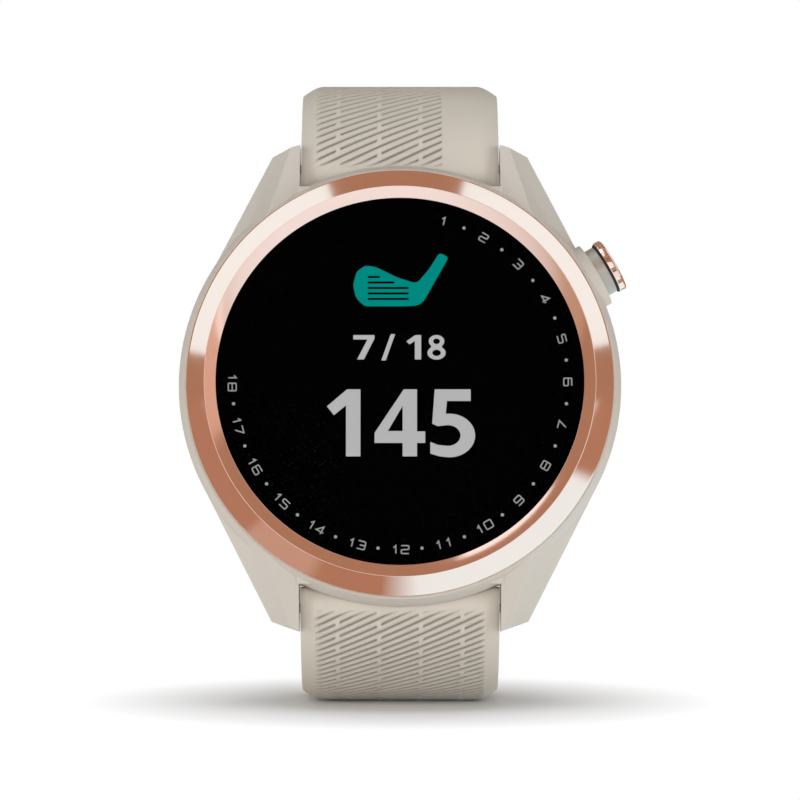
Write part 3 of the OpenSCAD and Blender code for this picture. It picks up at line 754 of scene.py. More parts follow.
def strap_columns(breaks, gap, field):
    """Places across the strap at which it has a column of points."""
    edge = [STRAP_HALF - inset for inset in (0, 0.15, 0.4, 0.75, 1.1, 1.3, 1.45, 1.9, 2.4)]
    columns = {round(side * place, 4) for place in edge for side in (-1, 1)}
    for middle in breaks:
        for away in (gap / 2, gap / 2 + 0.12):
            columns |= {round(middle - away, 4), round(middle + away, 4)}
    for end in field:
        if abs(end) < 7:
            columns |= {round(end, 4), round(end - 0.15, 4)}
    for step in range(-7, 8):
        if min(abs(step - place) for place in columns) > 0.45:
            columns.add(float(step))
    return sorted(columns)


def strap_rows(run, pitch, slope, start, end):
    """Rows of the flat strap: (distance along at the middle, slope, share of the nose's height)."""
    reach = abs(slope) * STRAP_HALF
    rows = [(-NOSE_FLAT - NOSE_ROUND * math.sin(math.radians(a)), 0, math.cos(math.radians(a)))
            for a in range(90, 0, -15)]
    first = math.floor((-reach - start) / pitch)
    last = math.ceil((end + reach - start) / pitch)
    for line in range(first, last + 1):
        for part in (-0.5, -0.185, -0.075, 0.075, 0.185):
            rows.append((start + (line + part) * pitch, slope, 1))
    here = start + (last + 0.5) * pitch
    settle = min(20, run.length - here - (TIP_BACK if run.tail else 1))
    begun = here
    finish_line = run.length - (TIP_BACK if run.tail else 0)
    while here < finish_line - 1e-6:
        rows.append((here, slope * (1 - ease((here - begun) / settle)), 1))
        here = min(here + 0.9, finish_line)
    if run.tail:
        turns = [math.sin(math.radians(90 * i / 40)) for i in range(41)]
        rows += [(run.length - TIP_BACK + TIP_RADIUS * turn, 0, 1) for turn in turns]
    else:
        rows += [(run.length + EYE * math.sin(math.radians(a)), 0, math.cos(math.radians(a)))
                 for a in range(0, 91, 15)]
    return rows


def flat_strap(run, sizes, pitch, slope, field, start, end):
    """The strap as it lies flat: across in x, along in y and level in z, in metres."""
    columns = strap_columns((-6.2, -2.07, 2.07, 6.2), sizes.dash_gap / MM, field)
    rows = strap_rows(run, pitch / MM, slope, start, end)
    bevel_width = sizes.bevel_width / MM
    bevel_depth = sizes.bevel_depth / MM
    last = run.length + EYE

    def nose(along):
        swell = ease(1 - along / 7)
        lift = ease(1 - along / 3)
        if not run.tail:
            swell = max(swell, ease(1 - (run.length - along) / 4))
            lift = max(lift, ease(1 - (run.length - along) / 3))
        return HALF_THICK + (EYE_TOP - HALF_THICK) * swell, HALF_THICK + (EYE - HALF_THICK) * lift

    outer = []
    inner = []
    for middle, slant, share in rows:
        for place in columns:
            along = middle + slant * place
            if share == 1:
                along = min(max(along, -NOSE_FLAT), last)
            half = run.half_width(along)
            edge = min(2.4, half * 0.27)
            inset = STRAP_HALF - abs(place)
            if inset < 2.4:
                across = half - inset * edge / 2.4
            else:
                across = abs(place) * (half - edge) / (STRAP_HALF - 2.4)
            across = math.copysign(across, place)
            inside = run.from_edge(across, along)
            top, bottom = nose(along)
            drop = bevel_depth * max(1 - inside / bevel_width, 0) ** 1.45
            lift = 0.4 * max(1 - inside / 0.5, 0) ** 1.5
            outer.append((across, along, (top - drop) * share))
            inner.append((across, along, (lift - bottom) * share))
    wide = len(columns)
    count = len(outer)
    faces = []
    for row in range(len(rows) - 1):
        for column in range(wide - 1):
            here = row * wide + column
            quad = (here, here + 1, here + wide + 1, here + wide)
            faces.append(quad)
            faces.append(tuple(corner + count for corner in reversed(quad)))
        for edge in (row * wide, row * wide + wide - 1):
            faces.append((edge, edge + wide, edge + wide + count, edge + count))
    mesh = plain_mesh(run.name, outer + inner, faces, Matrix.Scale(MM, 4))
    return closed(mesh, 0.004 * MM)


def box_points(low, high):
    """Corners and faces of a box."""
    points = [(x, y, z) for x in (low[0], high[0]) for y in (low[1], high[1]) for z in (low[2], high[2])]
    faces = [(0, 1, 3, 2), (4, 6, 7, 5), (0, 4, 5, 1), (2, 3, 7, 6), (0, 2, 6, 4), (1, 5, 7, 3)]
    return points, faces


def rod_points(radius, along, reach, sides=32):
    """A rod across the flat strap at a distance along it."""
    turn = [2 * math.pi * i / sides for i in range(sides)]
    points = [(end * reach, along + radius * math.cos(a), radius * math.sin(a))
              for end in (-1, 1) for a in turn]
    faces = [(i, (i + 1) % sides, sides + (i + 1) % sides, sides + i) for i in range(sides)]
    faces += [tuple(range(sides - 1, -1, -1)), tuple(range(sides, 2 * sides))]
    return points, faces


def strap_cutters(run):
    """What is cut out of the flat strap for its spring bar, release knob and buckle."""
    shapes = [rod_points(0.8, 0, 2 * STRAP_HALF), box_points((5.45, -0.65, -6), (8.05, 0.65, 0))]
    if not run.tail:
        shapes.append(rod_points(0.8, run.length, 2 * STRAP_HALF))
        shapes.append(box_points((-1.9, run.length - 1.85, -6), (1.9, run.length + 4, 6)))
    work = bmesh.new()
    cutter = bpy.data.meshes.new("cutter")
    for points, faces in shapes:
        piece = plain_mesh("cut", points, faces, Matrix.Scale(MM, 4))
        work.from_mesh(closed(piece))
        bpy.data.meshes.remove(piece)
    work.to_mesh(cutter)
    work.free()
    return cutter


def path_curve(points):
    """A curve through points given in millimetres."""
    curve = bpy.data.curves.new("strap path", "CURVE")
    curve.dimensions = "3D"
    spline = curve.splines.new("POLY")
    spline.points.add(len(points) - 1)
    for point, place in zip(spline.points, points):
        point.co = (*(place * MM), 1)
    return curve


def grooved_strap(run, sizes, pitch, field, start, end, holes):
    """The strap with its holes and slanted grooves, bent along its line."""
    slant = run.side * sizes.groove_slant
    path = helper("path", path_curve(run.line()))
    cutters = helper("cutters", strap_cutters(run))
    tree = Growth("Grooved strap", Path=path, Cutters=cutters, Pitch=pitch, Slant=slant,
                  Groove_width=sizes.groove_width, Groove_depth=sizes.groove_depth, Dash=sizes.dash,
                  Gap=sizes.dash_gap, Field_left=field[0] * MM, Field_right=field[1] * MM,
                  Field_start=start * MM, Field_end=end * MM, Side=float(run.side), Length=run.length * MM,
                  Holes=holes, First_hole=(run.length - 12) * MM - (holes - 1) * sizes.hole_pitch,
                  Hole_pitch=sizes.hole_pitch, Hole_width=sizes.hole_width, Finish=finish("sand_silicone"))
    stride, slant, width, depth = tree.inputs("Pitch", "Slant", "Groove width", "Groove depth")
    dash, gap = tree.inputs("Dash", "Gap")
    left, right, begin, stop = tree.inputs("Field left", "Field right", "Field start", "Field end")

    # Holes and cuts are made while the strap is flat
    spots = tree.node("GeometryNodeMeshLine", {},
                      {"Count": tree.input("Holes"),
                       "Start Location": tree.join(0.0, tree.input("First hole"), 0.0),
                       "Offset": tree.join(0.0, tree.input("Hole pitch"), 0.0)})
    punch = tree.node("GeometryNodeMeshCylinder", {},
                      {"Vertices": 40, "Radius": tree.input("Hole width") * 0.5, "Depth": 12 * MM})
    punches = tree.node("GeometryNodeInstanceOnPoints", {}, {"Points": spots, "Instance": punch})
    punches = tree.node("GeometryNodeRealizeInstances", {}, {0: punches})
    cuts = tree.node("GeometryNodeMeshBoolean", {"operation": "UNION", "solver": "EXACT"},
                     {"Mesh 2": tree.object("Cutters"), "Self Intersection": True})
    drilled = tree.node("GeometryNodeMeshBoolean", {"operation": "DIFFERENCE", "solver": "EXACT"},
                        {"Mesh 1": tree.start, "Mesh 2": cuts})
    drilled = tree.node("GeometryNodeMeshBoolean", {"operation": "DIFFERENCE", "solver": "EXACT"},
                        {"Mesh 1": drilled, "Mesh 2": punches})

    # A groove is a dash on a slanted line, with its breaks set back by half a dash on every other line
    across, along, level = tree.split(tree.node("GeometryNodeInputPosition"))
    line = (along - across * slant.math("TANGENT") - begin) / stride
    nearest = line.math("ROUND")
    away = abs(line - nearest) * stride * slant.math("COSINE")
    wall = ((width * 0.5 - away) / (width * 0.3)).held()
    beat = (across + 6.2 * MM) / dash - nearest.math("PINGPONG", 1.0) * 0.5
    to_break = abs(beat - beat.math("ROUND")) * dash
    inside = ((to_break - gap * 0.5) / (0.12 * MM)).held()
    inside = inside * ((across - left) / (0.15 * MM)).held() * ((right - across) / (0.15 * MM)).held()
    inside = inside * ((along - begin) / (0.8 * MM)).held() * ((stop - along) / (0.8 * MM)).held()
    groove = wall * inside * level.math("GREATER_THAN", 0.3 * MM)
    # The groove mask sinks the grooves and also carries the painted shade that sand_silicone puts in them
    marked = tree.node("GeometryNodeStoreNamedAttribute", {"data_type": "FLOAT", "domain": "POINT"},
                       {"Geometry": drilled, "Name": "groove", "Value": groove})

    # Bending: the strap follows its line, and its ends run on straight
    reach = along.math("MAXIMUM", 0.0).math("MINIMUM", tree.input("Length"))
    spot = tree.node("GeometryNodeSampleCurve", {"mode": "LENGTH"}, {"Curves": tree.object("Path"),
                                                                    "Length": reach})
    ahead = spot.of("Tangent")
    out = tree.scaled(tree.vector("CROSS_PRODUCT", (1, 0, 0), ahead), tree.input("Side"))
    kept = tree.node("GeometryNodeInputNamedAttribute", {"data_type": "FLOAT"}, {"Name": "groove"})
    place = tree.vector("ADD", spot.of("Position"), tree.scaled(ahead, along - reach))
    place = tree.vector("ADD", place, tree.scaled(out, level - kept * depth))
    place = tree.vector("ADD", place, tree.join(across, 0.0, 0.0))
    bent = tree.node("GeometryNodeSetPosition", {}, {"Geometry": marked, "Position": place})
    slope = math.tan(run.side * sizes.groove_slant)
    flat = flat_strap(run, sizes, pitch, slope, field, start, end)
    mesh = closed(tree.made(bent, flat), 0.0002 * MM)
    bpy.data.objects.remove(path)
    bpy.data.objects.remove(cutters)
    return mesh


def upper_run():
    """The upper half of the strap, from its bar to the buckle."""
    bend = math.radians(FIRST_BEND) * UPPER_BEND
    narrowed = bend + math.radians(33) * WRAP_RADIUS
    steps = [(FIRST_BEND, UPPER_BEND), (90, WRAP_RADIUS)]
    return StrapRun("upper_strap_silicone", UPPER_BAR, steps, 1, (bend, narrowed, 33), False)


def lower_run():
    """The lower half of the strap, from its bar under the watch to the tail."""
    bend = math.radians(FIRST_BEND) * LOWER_BEND
    steps = [(FIRST_BEND, LOWER_BEND), (0, FLAT_REST), (90, 31), (0, 25)]
    return StrapRun("lower_strap_silicone", LOWER_BAR, steps, -1, (bend, bend + FLAT_REST, 0), True)


# Operators
class WatchStraps(bpy.types.Operator):
    """Both halves of the grooved silicone strap"""
    bl_idname = "watch.straps"
    bl_label = "Straps"

    def execute(self, context):
        sizes = context.scene.watch_straps
        upper = grooved_strap(upper_run(), sizes, sizes.groove_pitch, (-8.45, 4.25), -NOSE_FLAT, 40, 0)
        shown("upper_strap_silicone", upper, "upper_strap", "sand_silicone",
              ("upper_strap",))
        lower = grooved_strap(lower_run(), sizes, sizes.lower_pitch, (-8.45, 8.45), -NOSE_FLAT, 47.5,
                              sizes.hole_count)
        shown("lower_strap_silicone", lower, "lower_strap", "sand_silicone",
              ("lower_strap",))
        return {"FINISHED"}


def loop_points(width, height, radius, steps=8):
    """A rounded rectangle about the origin."""
    points = []
    for quarter, (x, y) in enumerate(((1, 1), (-1, 1), (-1, -1), (1, -1))):
        middle = Vector((x * (width / 2 - radius), y * (height / 2 - radius)))
        for i in range(steps + 1):
            turn = math.radians(90 * (quarter + i / steps))
            points.append(middle + radius * Vector((math.cos(turn), math.sin(turn))))
    return points


def keeper_mesh(name, turn):
    """A keeper as a rounded loop round the strap, at an angle round the wrist from the apex."""
    wall = rounded([(0, -KEEPER_HALF), (KEEPER_WALL, -KEEPER_HALF), (KEEPER_WALL, KEEPER_HALF),
                    (0, KEEPER_HALF)], 0.45)
    loops = [loop_points(18.3 + 2 * out, 6.1 + 2 * out, 0.6 + 1.5 * out) for out, _ in wall]
    per_loop = len(loops[0])
    points = []
    for (_, along), loop in zip(wall, loops):
        points += [(point.x, point.y, along) for point in loop]
    faces = []
    for i in range(len(wall)):
        ahead = (i + 1) % len(wall)
        for j in range(per_loop):
            beside = (j + 1) % per_loop
            here = i * per_loop
            there = ahead * per_loop
            faces.append((here + j, here + beside, there + beside, there + j))
    heading = math.radians(turn)
    out = Vector((0, math.sin(heading), math.cos(heading)))
    ahead = Vector((0, math.cos(heading), -math.sin(heading)))
    place = Matrix((Vector((1, 0, 0)), out, ahead)).transposed().to_4x4()
    middle = WRIST_MIDDLE + out * (WRAP_RADIUS + HALF_THICK) * MM
    return closed(plain_mesh(name, points, faces, Matrix.Translation(middle) @ place @ Matrix.Scale(MM, 4)))


class WatchKeepers(bpy.types.Operator):
    """The fixed and the loose keeper of the strap"""
    bl_idname = "watch.keepers"
    bl_label = "Keepers"

    def execute(self, context):
        for node, turn in (("fixed_keeper", 74), ("sliding_keeper", 50)):
            mesh = keeper_mesh(node, turn)
            shown(node + "_loop", mesh, body_of(node), "sand_silicone", (node,))
        return {"FINISHED"}


def lug_webs():
    """Webs in the corners between the round side of the case and its four lugs."""
    corner = rounded([(8.9, 18.6), (10.2, 18.6), (10.2, 19.73), (8.9, 19.73)], 0.12)
    sides = len(corner)
    points = []
    faces = []
    for across in (-1, 1):
        for up in (-1, 1):
            base = len(points)
            points += [(across * x, up * y, z) for z in (1.6, 7.2) for x, y in corner]
            faces += [(base + i, base + (i + 1) % sides, base + sides + (i + 1) % sides, base + sides + i)
                      for i in range(sides)]
            faces += [tuple(range(base, base + sides)), tuple(range(base + sides, base + 2 * sides))]
    return closed(plain_mesh("webs", points, faces, HEAD))


class WatchCase(bpy.types.Operator):
    """The case with its lugs, and the back cover"""
    bl_idname = "watch.case"
    bl_label = "Case"

    def execute(self, context):
        softened("case_shell", context.scene.watch_head.edge_round)
        softened("back_cover", context.scene.watch_head.edge_round)
        shown("case_webs", lug_webs(), "head", "sand_polymer")
        return {"FINISHED"}


class WatchBezel(bpy.types.Operator):
    """The two-facet bezel, turned from its profile"""
    bl_idname = "watch.bezel"
    bl_label = "Bezel"

    def execute(self, context):
        sizes = context.scene.watch_head
        outer = sizes.bezel_radius / MM
        ridge = sizes.ridge_radius / MM
        window = sizes.window_radius / MM
        edge = BEZEL_RIDGE - (outer - ridge) * FACET_SLOPE
        lip = BEZEL_RIDGE - (ridge - window) * DISH_SLOPE
        profile = [(BEZEL_LIP, BEZEL_SEAT), (outer, BEZEL_SEAT), (outer, edge - 0.2),
                   (outer - 0.03, edge - 0.05), (outer - 0.12, edge + 0.13), (ridge, BEZEL_RIDGE),
                   (window, lip), (window, BEZEL_LEDGE), (BEZEL_LIP, BEZEL_LEDGE)]
        mesh = turned("bezel", rounded(profile, 0.05), "rose_gold")
        mesh.transform(HEAD_METRES)
        shown("bezel_turned", mesh, "head", "rose_gold", ("bezel_ring",), crease=20)
        return {"FINISHED"}


def thick(mesh, height):
    """Makes a flat mesh a closed plate of that height, upwards along z."""
    work = bmesh.new()
    work.from_mesh(mesh)
    bmesh.ops.remove_doubles(work, verts=work.verts, dist=0.0005 * MM)
    bmesh.ops.recalc_face_normals(work, faces=work.faces)
    for face in work.faces:
        if face.normal.z > 0:
            face.normal_flip()
    grown = bmesh.ops.extrude_face_region(work, geom=work.faces[:], use_keep_orig=True)
    raised = [item for item in grown["geom"] if isinstance(item, bmesh.types.BMVert)]
    bmesh.ops.translate(work, verts=raised, vec=(0, 0, height))
    bmesh.ops.recalc_face_normals(work, faces=work.faces)
    work.to_mesh(mesh)
    work.free()
    return mesh


def digit_lines():
    """The lines of the digits on the dial, in a plain square style, for a height and width of 1."""
    bar = [(0.09, 0.5), (0.91, 0.5)]
    loop = [(0.5, 0), (1, 0), (1, 1), (0, 1), (0, 0), (0.49, 0)]
    return {
        "0": [loop],
        "1": [[(0.3, 0.72), (0.62, 1), (0.62, 0)]],
        "2": [[(0, 1), (1, 1), (1, 0.52), (0, 0.48), (0, 0), (1, 0)]],
        "3": [[(0, 1), (1, 1), (1, 0), (0, 0)], [(0.3, 0.5), (0.91, 0.5)]],
        "4": [[(0.76, 0), (0.76, 1), (0, 0.28), (0.66, 0.28)], [(0.86, 0.28), (1.08, 0.28)]],
        "5": [[(1, 1), (0, 1), (0, 0.56), (1, 0.56), (1, 0), (0, 0)]],
        "6": [[(1, 1), (0, 1), (0, 0), (1, 0), (1, 0.56), (0.09, 0.56)]],
        "7": [[(0, 1), (1, 1), (0.36, 0)]],
        "8": [loop, bar],
        "9": [[(0, 0), (1, 0), (1, 1), (0, 1), (0, 0.44), (0.91, 0.44)]],
    }


def stroke(points, width):
    """The outline of a line of that width, with its corners mitred."""
    places = [Vector(point) for point in points]
    headings = [(there - here).normalized() for here, there in zip(places, places[1:])]
    left = []
    right = []
    for place, before, ahead in zip(places, [headings[0], *headings], [*headings, headings[-1]]):
        middle = (before + ahead).normalized()
        reach = width / 2 / max(middle.dot(ahead), 0.35)
        aside = Vector((-middle.y, middle.x)) * reach
        left.append(tuple(place + aside))
        right.append(tuple(place - aside))
    return left + right[::-1]


def number_loops(number, height):
    """The outlines of a number about the origin, in millimetres."""
    lines = digit_lines()
    text = str(number)
    wide = 0.96 * height
    step = 1.28 * height
    loops = []
    for place, digit in enumerate(text):
        start = (place - (len(text) - 1) / 2) * step - wide / 2
        for line in lines[digit]:
            bent = line if digit in "147" else rounded(line, 0.16, 4, ring=False)
            points = [(start + x * wide, (y - 0.5) * height) for x, y in bent]
            loops.append(stroke(points, 0.15 * height))
    return loops


def flat_numbers(count, height):
    """All numbers at one place, each point marked with its number, in metres."""
    work = bmesh.new()
    mark = work.verts.layers.float.new("number")
    for number in range(1, count + 1):
        before = len(work.verts)
        mesh = filled_outline(number_loops(number, height / MM))
        mesh.transform(Matrix.Scale(MM, 4))
        work.from_mesh(mesh)
        work.verts.ensure_lookup_table()
        for vertex in work.verts[before:]:
            vertex[mark] = number
    made = bpy.data.meshes.new("numbers")
    work.to_mesh(made)
    work.free()
    return made


def dial_marks(sizes):
    """The numbers 1 to 18 and the dots between them, flat and in metres."""
    tree = Growth("Dial marks", Count=18, Radius=sizes.number_radius, Dot=sizes.dot_radius,
                  Spacing=math.radians(15), Last_upright=6, Finish=finish("printed_ink"))
    count, radius, dot, spacing, upright = tree.inputs("Count", "Radius", "Dot", "Spacing", "Last upright")

    # Dots
    angle = (tree.node("GeometryNodeInputIndex") + 1.5) * spacing
    spots = tree.node("GeometryNodeMeshLine", {}, {"Count": count - 1})
    place = tree.join(angle.math("SINE") * radius, angle.math("COSINE") * radius, 0.0)
    spots = tree.node("GeometryNodeSetPosition", {}, {"Geometry": spots, "Position": place})
    disc = tree.node("GeometryNodeMeshCircle", {"fill_type": "NGON"}, {"Vertices": 16, "Radius": dot})
    dots = tree.node("GeometryNodeInstanceOnPoints", {}, {"Points": spots, "Instance": disc})

    # Numbers, whose tops point out up to the last upright one and in after it
    number = tree.node("GeometryNodeInputNamedAttribute", {"data_type": "FLOAT"}, {"Name": "number"})
    across, up, _ = tree.split(tree.node("GeometryNodeInputPosition"))
    flip = 1 - number.math("GREATER_THAN", upright) * 2
    across = across * flip
    up = up * flip + radius
    turn = number * spacing
    sine = turn.math("SINE")
    cosine = turn.math("COSINE")
    place = tree.join(across * cosine + up * sine, up * cosine - across * sine, 0.0)
    numbers = tree.node("GeometryNodeSetPosition", {}, {"Geometry": tree.start, "Position": place})
    everything = tree.node("GeometryNodeJoinGeometry")
    for part in (numbers, dots):
        tree.nodes.links.new(part.socket, everything.socket.node.inputs[0])
    return tree.made(everything, flat_numbers(18, sizes.number_height))


class WatchDial(bpy.types.Operator):
    """The lens, the black border under it and the marks on the border"""
    bl_idname = "watch.dial"
    bl_label = "Dial"

    def execute(self, context):
        sizes = context.scene.watch_head
        profile = [(0, 9.68), (18.02, 9.68), (18.02, 10.7), (17.84, LENS_TOP), (0, LENS_TOP)]
        lens = turned("lens", rounded(profile, 0.06, ring=False), "lens_glass", 192)
        lens.transform(HEAD_METRES)
        shown("lens_plate", lens, "head", "lens_glass", ("lens",))
        marks = thick(dial_marks(sizes), 0.03 * MM)
        marks.transform(HEAD_METRES @ Matrix.Translation((0, 0, RING_TOP * MM)))
        shown("dial_marks", marks, "head", "printed_ink", crease=30)
        return {"FINISHED"}


def arc(middle, radii, first, last, steps=16):
    """Points on an ellipse from one angle to another, in degrees."""
    turns = [math.radians(first + (last - first) * i / steps) for i in range(steps + 1)]
    return [(middle[0] + radii[0] * math.cos(a), middle[1] + radii[1] * math.sin(a)) for a in turns]


def figure_loops():
    """Outlines of the figures on the display, for a height of 1: the step to the next one, then the loops."""
    one = [(0.3, 1), (0.5, 1), (0.5, 0), (0.285, 0), (0.285, 0.76), (0.105, 0.615), (0, 0.745)]
    four = [(0.435, 1), (0.633, 1), (0.633, 0.372), (0.755, 0.372), (0.755, 0.2), (0.633, 0.2), (0.633, 0),
            (0.418, 0), (0.418, 0.2), (0, 0.2), (0, 0.35)]
    five = [(0.066, 1), (0.602, 1), (0.602, 0.826), (0.248, 0.826), (0.231, 0.63)]
    five += arc((0.284, 0.311), (0.385, 0.326), 96, -90)
    five += [(0.135, 0), (0, 0.042), (0, 0.215), (0.119, 0.169)]
    five += arc((0.26, 0.311), (0.19, 0.155), -90, 90) + [(0.11, 0.45), (0.028, 0.488)]
    seven = [(0, 1), (0.72, 1), (0.72, 0.86), (0.36, 0), (0.13, 0), (0.48, 0.82), (0, 0.82)]
    eight = arc((0.31, 0.27), (0.31, 0.28), 128, 412) + arc((0.31, 0.745), (0.265, 0.26), -48, 228)
    upper_eye = arc((0.31, 0.745), (0.115, 0.115), 0, 345)
    lower_eye = arc((0.31, 0.27), (0.145, 0.13), 0, 345)
    return {
        "1": (0.711, [one]),
        "4": (0.831, [four, [(0.418, 0.752), (0.418, 0.377), (0.198, 0.377)]]),
        "5": (0.8, [five]),
        "7": (0.95, [seven]),
        "8": (0.8, [eight, upper_eye, lower_eye]),
        "/": (0.85, [[(0, -0.04), (0.15, -0.04), (0.47, 1.04), (0.32, 1.04)]]),
    }


def figures(text):
    """The outlines of a row of figures."""
    outlines = figure_loops()
    start = 0
    loops = []
    for sign in text:
        step, shapes = outlines[sign]
        loops += [[(start + x, y) for x, y in shape] for shape in shapes]
        start += step
    return loops


def fitted(mesh, low, high):
    """Moves and stretches a flat mesh into a box in millimetres on the head, then into metres."""
    xs = [vertex.co.x for vertex in mesh.vertices]
    ys = [vertex.co.y for vertex in mesh.vertices]
    for vertex in mesh.vertices:
        x = (vertex.co.x - min(xs)) / (max(xs) - min(xs))
        y = (vertex.co.y - min(ys)) / (max(ys) - min(ys))
        vertex.co = ((low[0] + (high[0] - low[0]) * x) * MM, (low[1] + (high[1] - low[1]) * y) * MM, 0)
    return mesh


def club_outline():
    """A plain picture of an iron: the outline of its head and neck, and the grooves in its face."""
    head = [(0.12, 0), (0.03, 0.2), (0, 0.5), (0.04, 0.82), (0.13, 0.96), (0.24, 0.92), (0.46, 0.68)]
    head += [(0.63, 0.555), (0.68, 0.57), (0.79, 0.86), (0.905, 1.26), (1, 1.15), (0.74, 0.12), (0.68, 0.02)]
    head += [(0.56, 0)]
    grooves = []
    for line in range(5):
        low = 0.147 + 0.129 * line
        right = 0.58 - max(0, line - 2) * 0.15
        grooves.append([(0.155, low), (0.155, low + 0.05), (right, low + 0.05), (right, low)])
    return [rounded([(x * 9.3, y * 4.1) for x, y in head], 0.35, 6)] + [
        [(x * 9.3, y * 4.1) for x, y in groove] for groove in grooves]


def filled_outline(loops):
    """A flat mesh between an outline and the loops inside it."""
    curve = bpy.data.curves.new("outline", "CURVE")
    curve.dimensions = "2D"
    curve.fill_mode = "BOTH"
    for loop in loops:
        spline = curve.splines.new("POLY")
        spline.points.add(len(loop) - 1)
        for point, (x, y) in zip(spline.points, loop):
            point.co = (x, y, 0, 1)
        spline.use_cyclic_u = True
    made = helper("outline", curve)
    mesh = bpy.data.meshes.new_from_object(made.evaluated_get(bpy.context.evaluated_depsgraph_get()))
    bpy.data.objects.remove(made)
    return mesh


class WatchDisplay(bpy.types.Operator):
    """The figures and the picture of a club on the display, which glow as painted light"""
    bl_idname = "watch.display"
    bl_label = "Display"

    def execute(self, context):
        on_panel = HEAD_METRES @ Matrix.Translation((0, 0, PANEL_TOP * MM))
        lines = {
            "display_distance": (figures("145"), (-7.19, -7.42), (7.39, -0.71), "lit_figures"),
            "display_hole": (figures("7/18"), (-4.6, 2.15), (4.5, 4.75), "lit_figures"),
            "display_club": (club_outline(), (-4.59, 7.51), (4.69, 12.72), "lit_club"),
        }
        for name, (loops, low, high, light) in lines.items():
            mesh = filled_outline(loops)
            mesh.materials.clear()
            thick(fitted(mesh, low, high), 0.03 * MM)
            mesh.transform(on_panel)
            shown(name, mesh, "head", light, crease=30)
        return {"FINISHED"}


def notched_cap(sizes):
    """The button's cap: a turned disc with notches cut round its edge, in metres along the button's axis."""
    corners = [(0, CAP_SEAT), (2.74, CAP_SEAT), (CAP_RADIUS, 23.84), (CAP_RADIUS, CAP_TOP), (0, CAP_TOP)]
    profile = rounded(corners, 0.28, ring=False)
    disc = turned("cap", profile, "rose_gold", 192)
    tree = Growth("Notched cap", Count=sizes.notch_count, Radius=CAP_RADIUS * MM, Width=0.5 * MM,
                  Depth=0.15 * MM, Middle=24.13 * MM, Finish=finish("rose_gold"))
    radius, width, depth = tree.inputs("Radius", "Width", "Depth")
    angle = (tree.node("GeometryNodeInputIndex") + 0.5) / tree.input("Count") * (2 * math.pi)
    spots = tree.node("GeometryNodeMeshLine", {}, {"Count": tree.input("Count")})
    reach = radius + width * 0.5 - depth
    place = tree.join(angle.math("COSINE") * reach, angle.math("SINE") * reach, tree.input("Middle"))
    spots = tree.node("GeometryNodeSetPosition", {}, {"Geometry": spots, "Position": place})
    tool = tree.node("GeometryNodeMeshCylinder", {},
                     {"Vertices": 20, "Radius": width * 0.5, "Depth": width * 0.9})
    tools = tree.node("GeometryNodeInstanceOnPoints", {}, {"Points": spots, "Instance": tool})
    tools = tree.node("GeometryNodeRealizeInstances", {}, {0: tools})
    cut = tree.node("GeometryNodeMeshBoolean", {"operation": "DIFFERENCE", "solver": "EXACT"},
                    {"Mesh 1": tree.start, "Mesh 2": tools})
    x, y, _ = tree.split(tree.node("GeometryNodeInputPosition"))
    level = tree.split(tree.node("GeometryNodeInputNormal"))[2]
    inward = ((x * x + y * y).math("SQRT")).math("LESS_THAN", radius - depth * 0.1)
    notch = inward * abs(level).math("LESS_THAN", 0.5)
    # The notch mask lets rose_gold paint shade into the notches
    marked = tree.node("GeometryNodeStoreNamedAttribute", {"data_type": "FLOAT", "domain": "FACE"},
                       {"Geometry": cut, "Name": "notch", "Value": notch})
    return closed(tree.made(marked, disc))


class WatchButton(bpy.types.Operator):
    """The push button's cap, black ring and shank"""
    bl_idname = "watch.button"
    bl_label = "Button"

    def execute(self, context):
        cap = notched_cap(context.scene.watch_head)
        cap.transform(BUTTON_METRES)
        shown("button_cap_notched", cap, "button", "rose_gold", ("button_cap",))
        softened("button_shank", 0.12 * MM)
        softened("button_ring", 0.05 * MM)
        return {"FINISHED"}


def on_points(name, part, places, finish_name):
    """Copies of a part at points in millimetres on the head, in metres."""
    tree = Growth(name, Part=helper("part", part), Finish=finish(finish_name))
    copies = tree.node("GeometryNodeInstanceOnPoints", {},
                       {"Points": tree.start, "Instance": tree.object("Part")})
    start = bpy.data.meshes.new(name)
    start.from_pydata([Vector(place) * MM for place in places], [], [])
    mesh = tree.made(copies, start)
    bpy.data.objects.remove(tree.values["Part"])
    return closed(mesh)


def screw_mesh():
    """A countersunk screw with a six-point recess, its face at height 0, in metres."""
    corners = [(0, 0.02), (1.05, 0), (1.2, 0.12), (1.2, 0.6), (0.6, 0.6), (0.6, 3.35), (0.4, 3.6), (0, 3.6)]
    profile = rounded(corners, 0.06, 3, ring=False)
    body = turned("screw", profile, "steel", 48)
    star = []
    for i in range(36):
        turn = 2 * math.pi * i / 36
        reach = 0.56 + 0.11 * math.cos(6 * turn)
        star.append((reach * math.cos(turn), reach * math.sin(turn)))
    points = [(x, y, z) for z in (-0.3, 0.4) for x, y in star]
    faces = [(i, (i + 1) % 36, 36 + (i + 1) % 36, 36 + i) for i in range(36)]
    faces += [tuple(range(35, -1, -1)), tuple(range(36, 72))]
    recess = helper("recess", closed(plain_mesh("recess", points, faces, Matrix.Scale(MM, 4))))
    tree = Growth("Screw recess", Recess=recess, Finish=finish("steel"))
    cut = tree.node("GeometryNodeMeshBoolean", {"operation": "DIFFERENCE", "solver": "EXACT"},
                    {"Mesh 1": tree.start, "Mesh 2": tree.object("Recess")})
    mesh = tree.made(cut, body)
    bpy.data.objects.remove(recess)
    return mesh


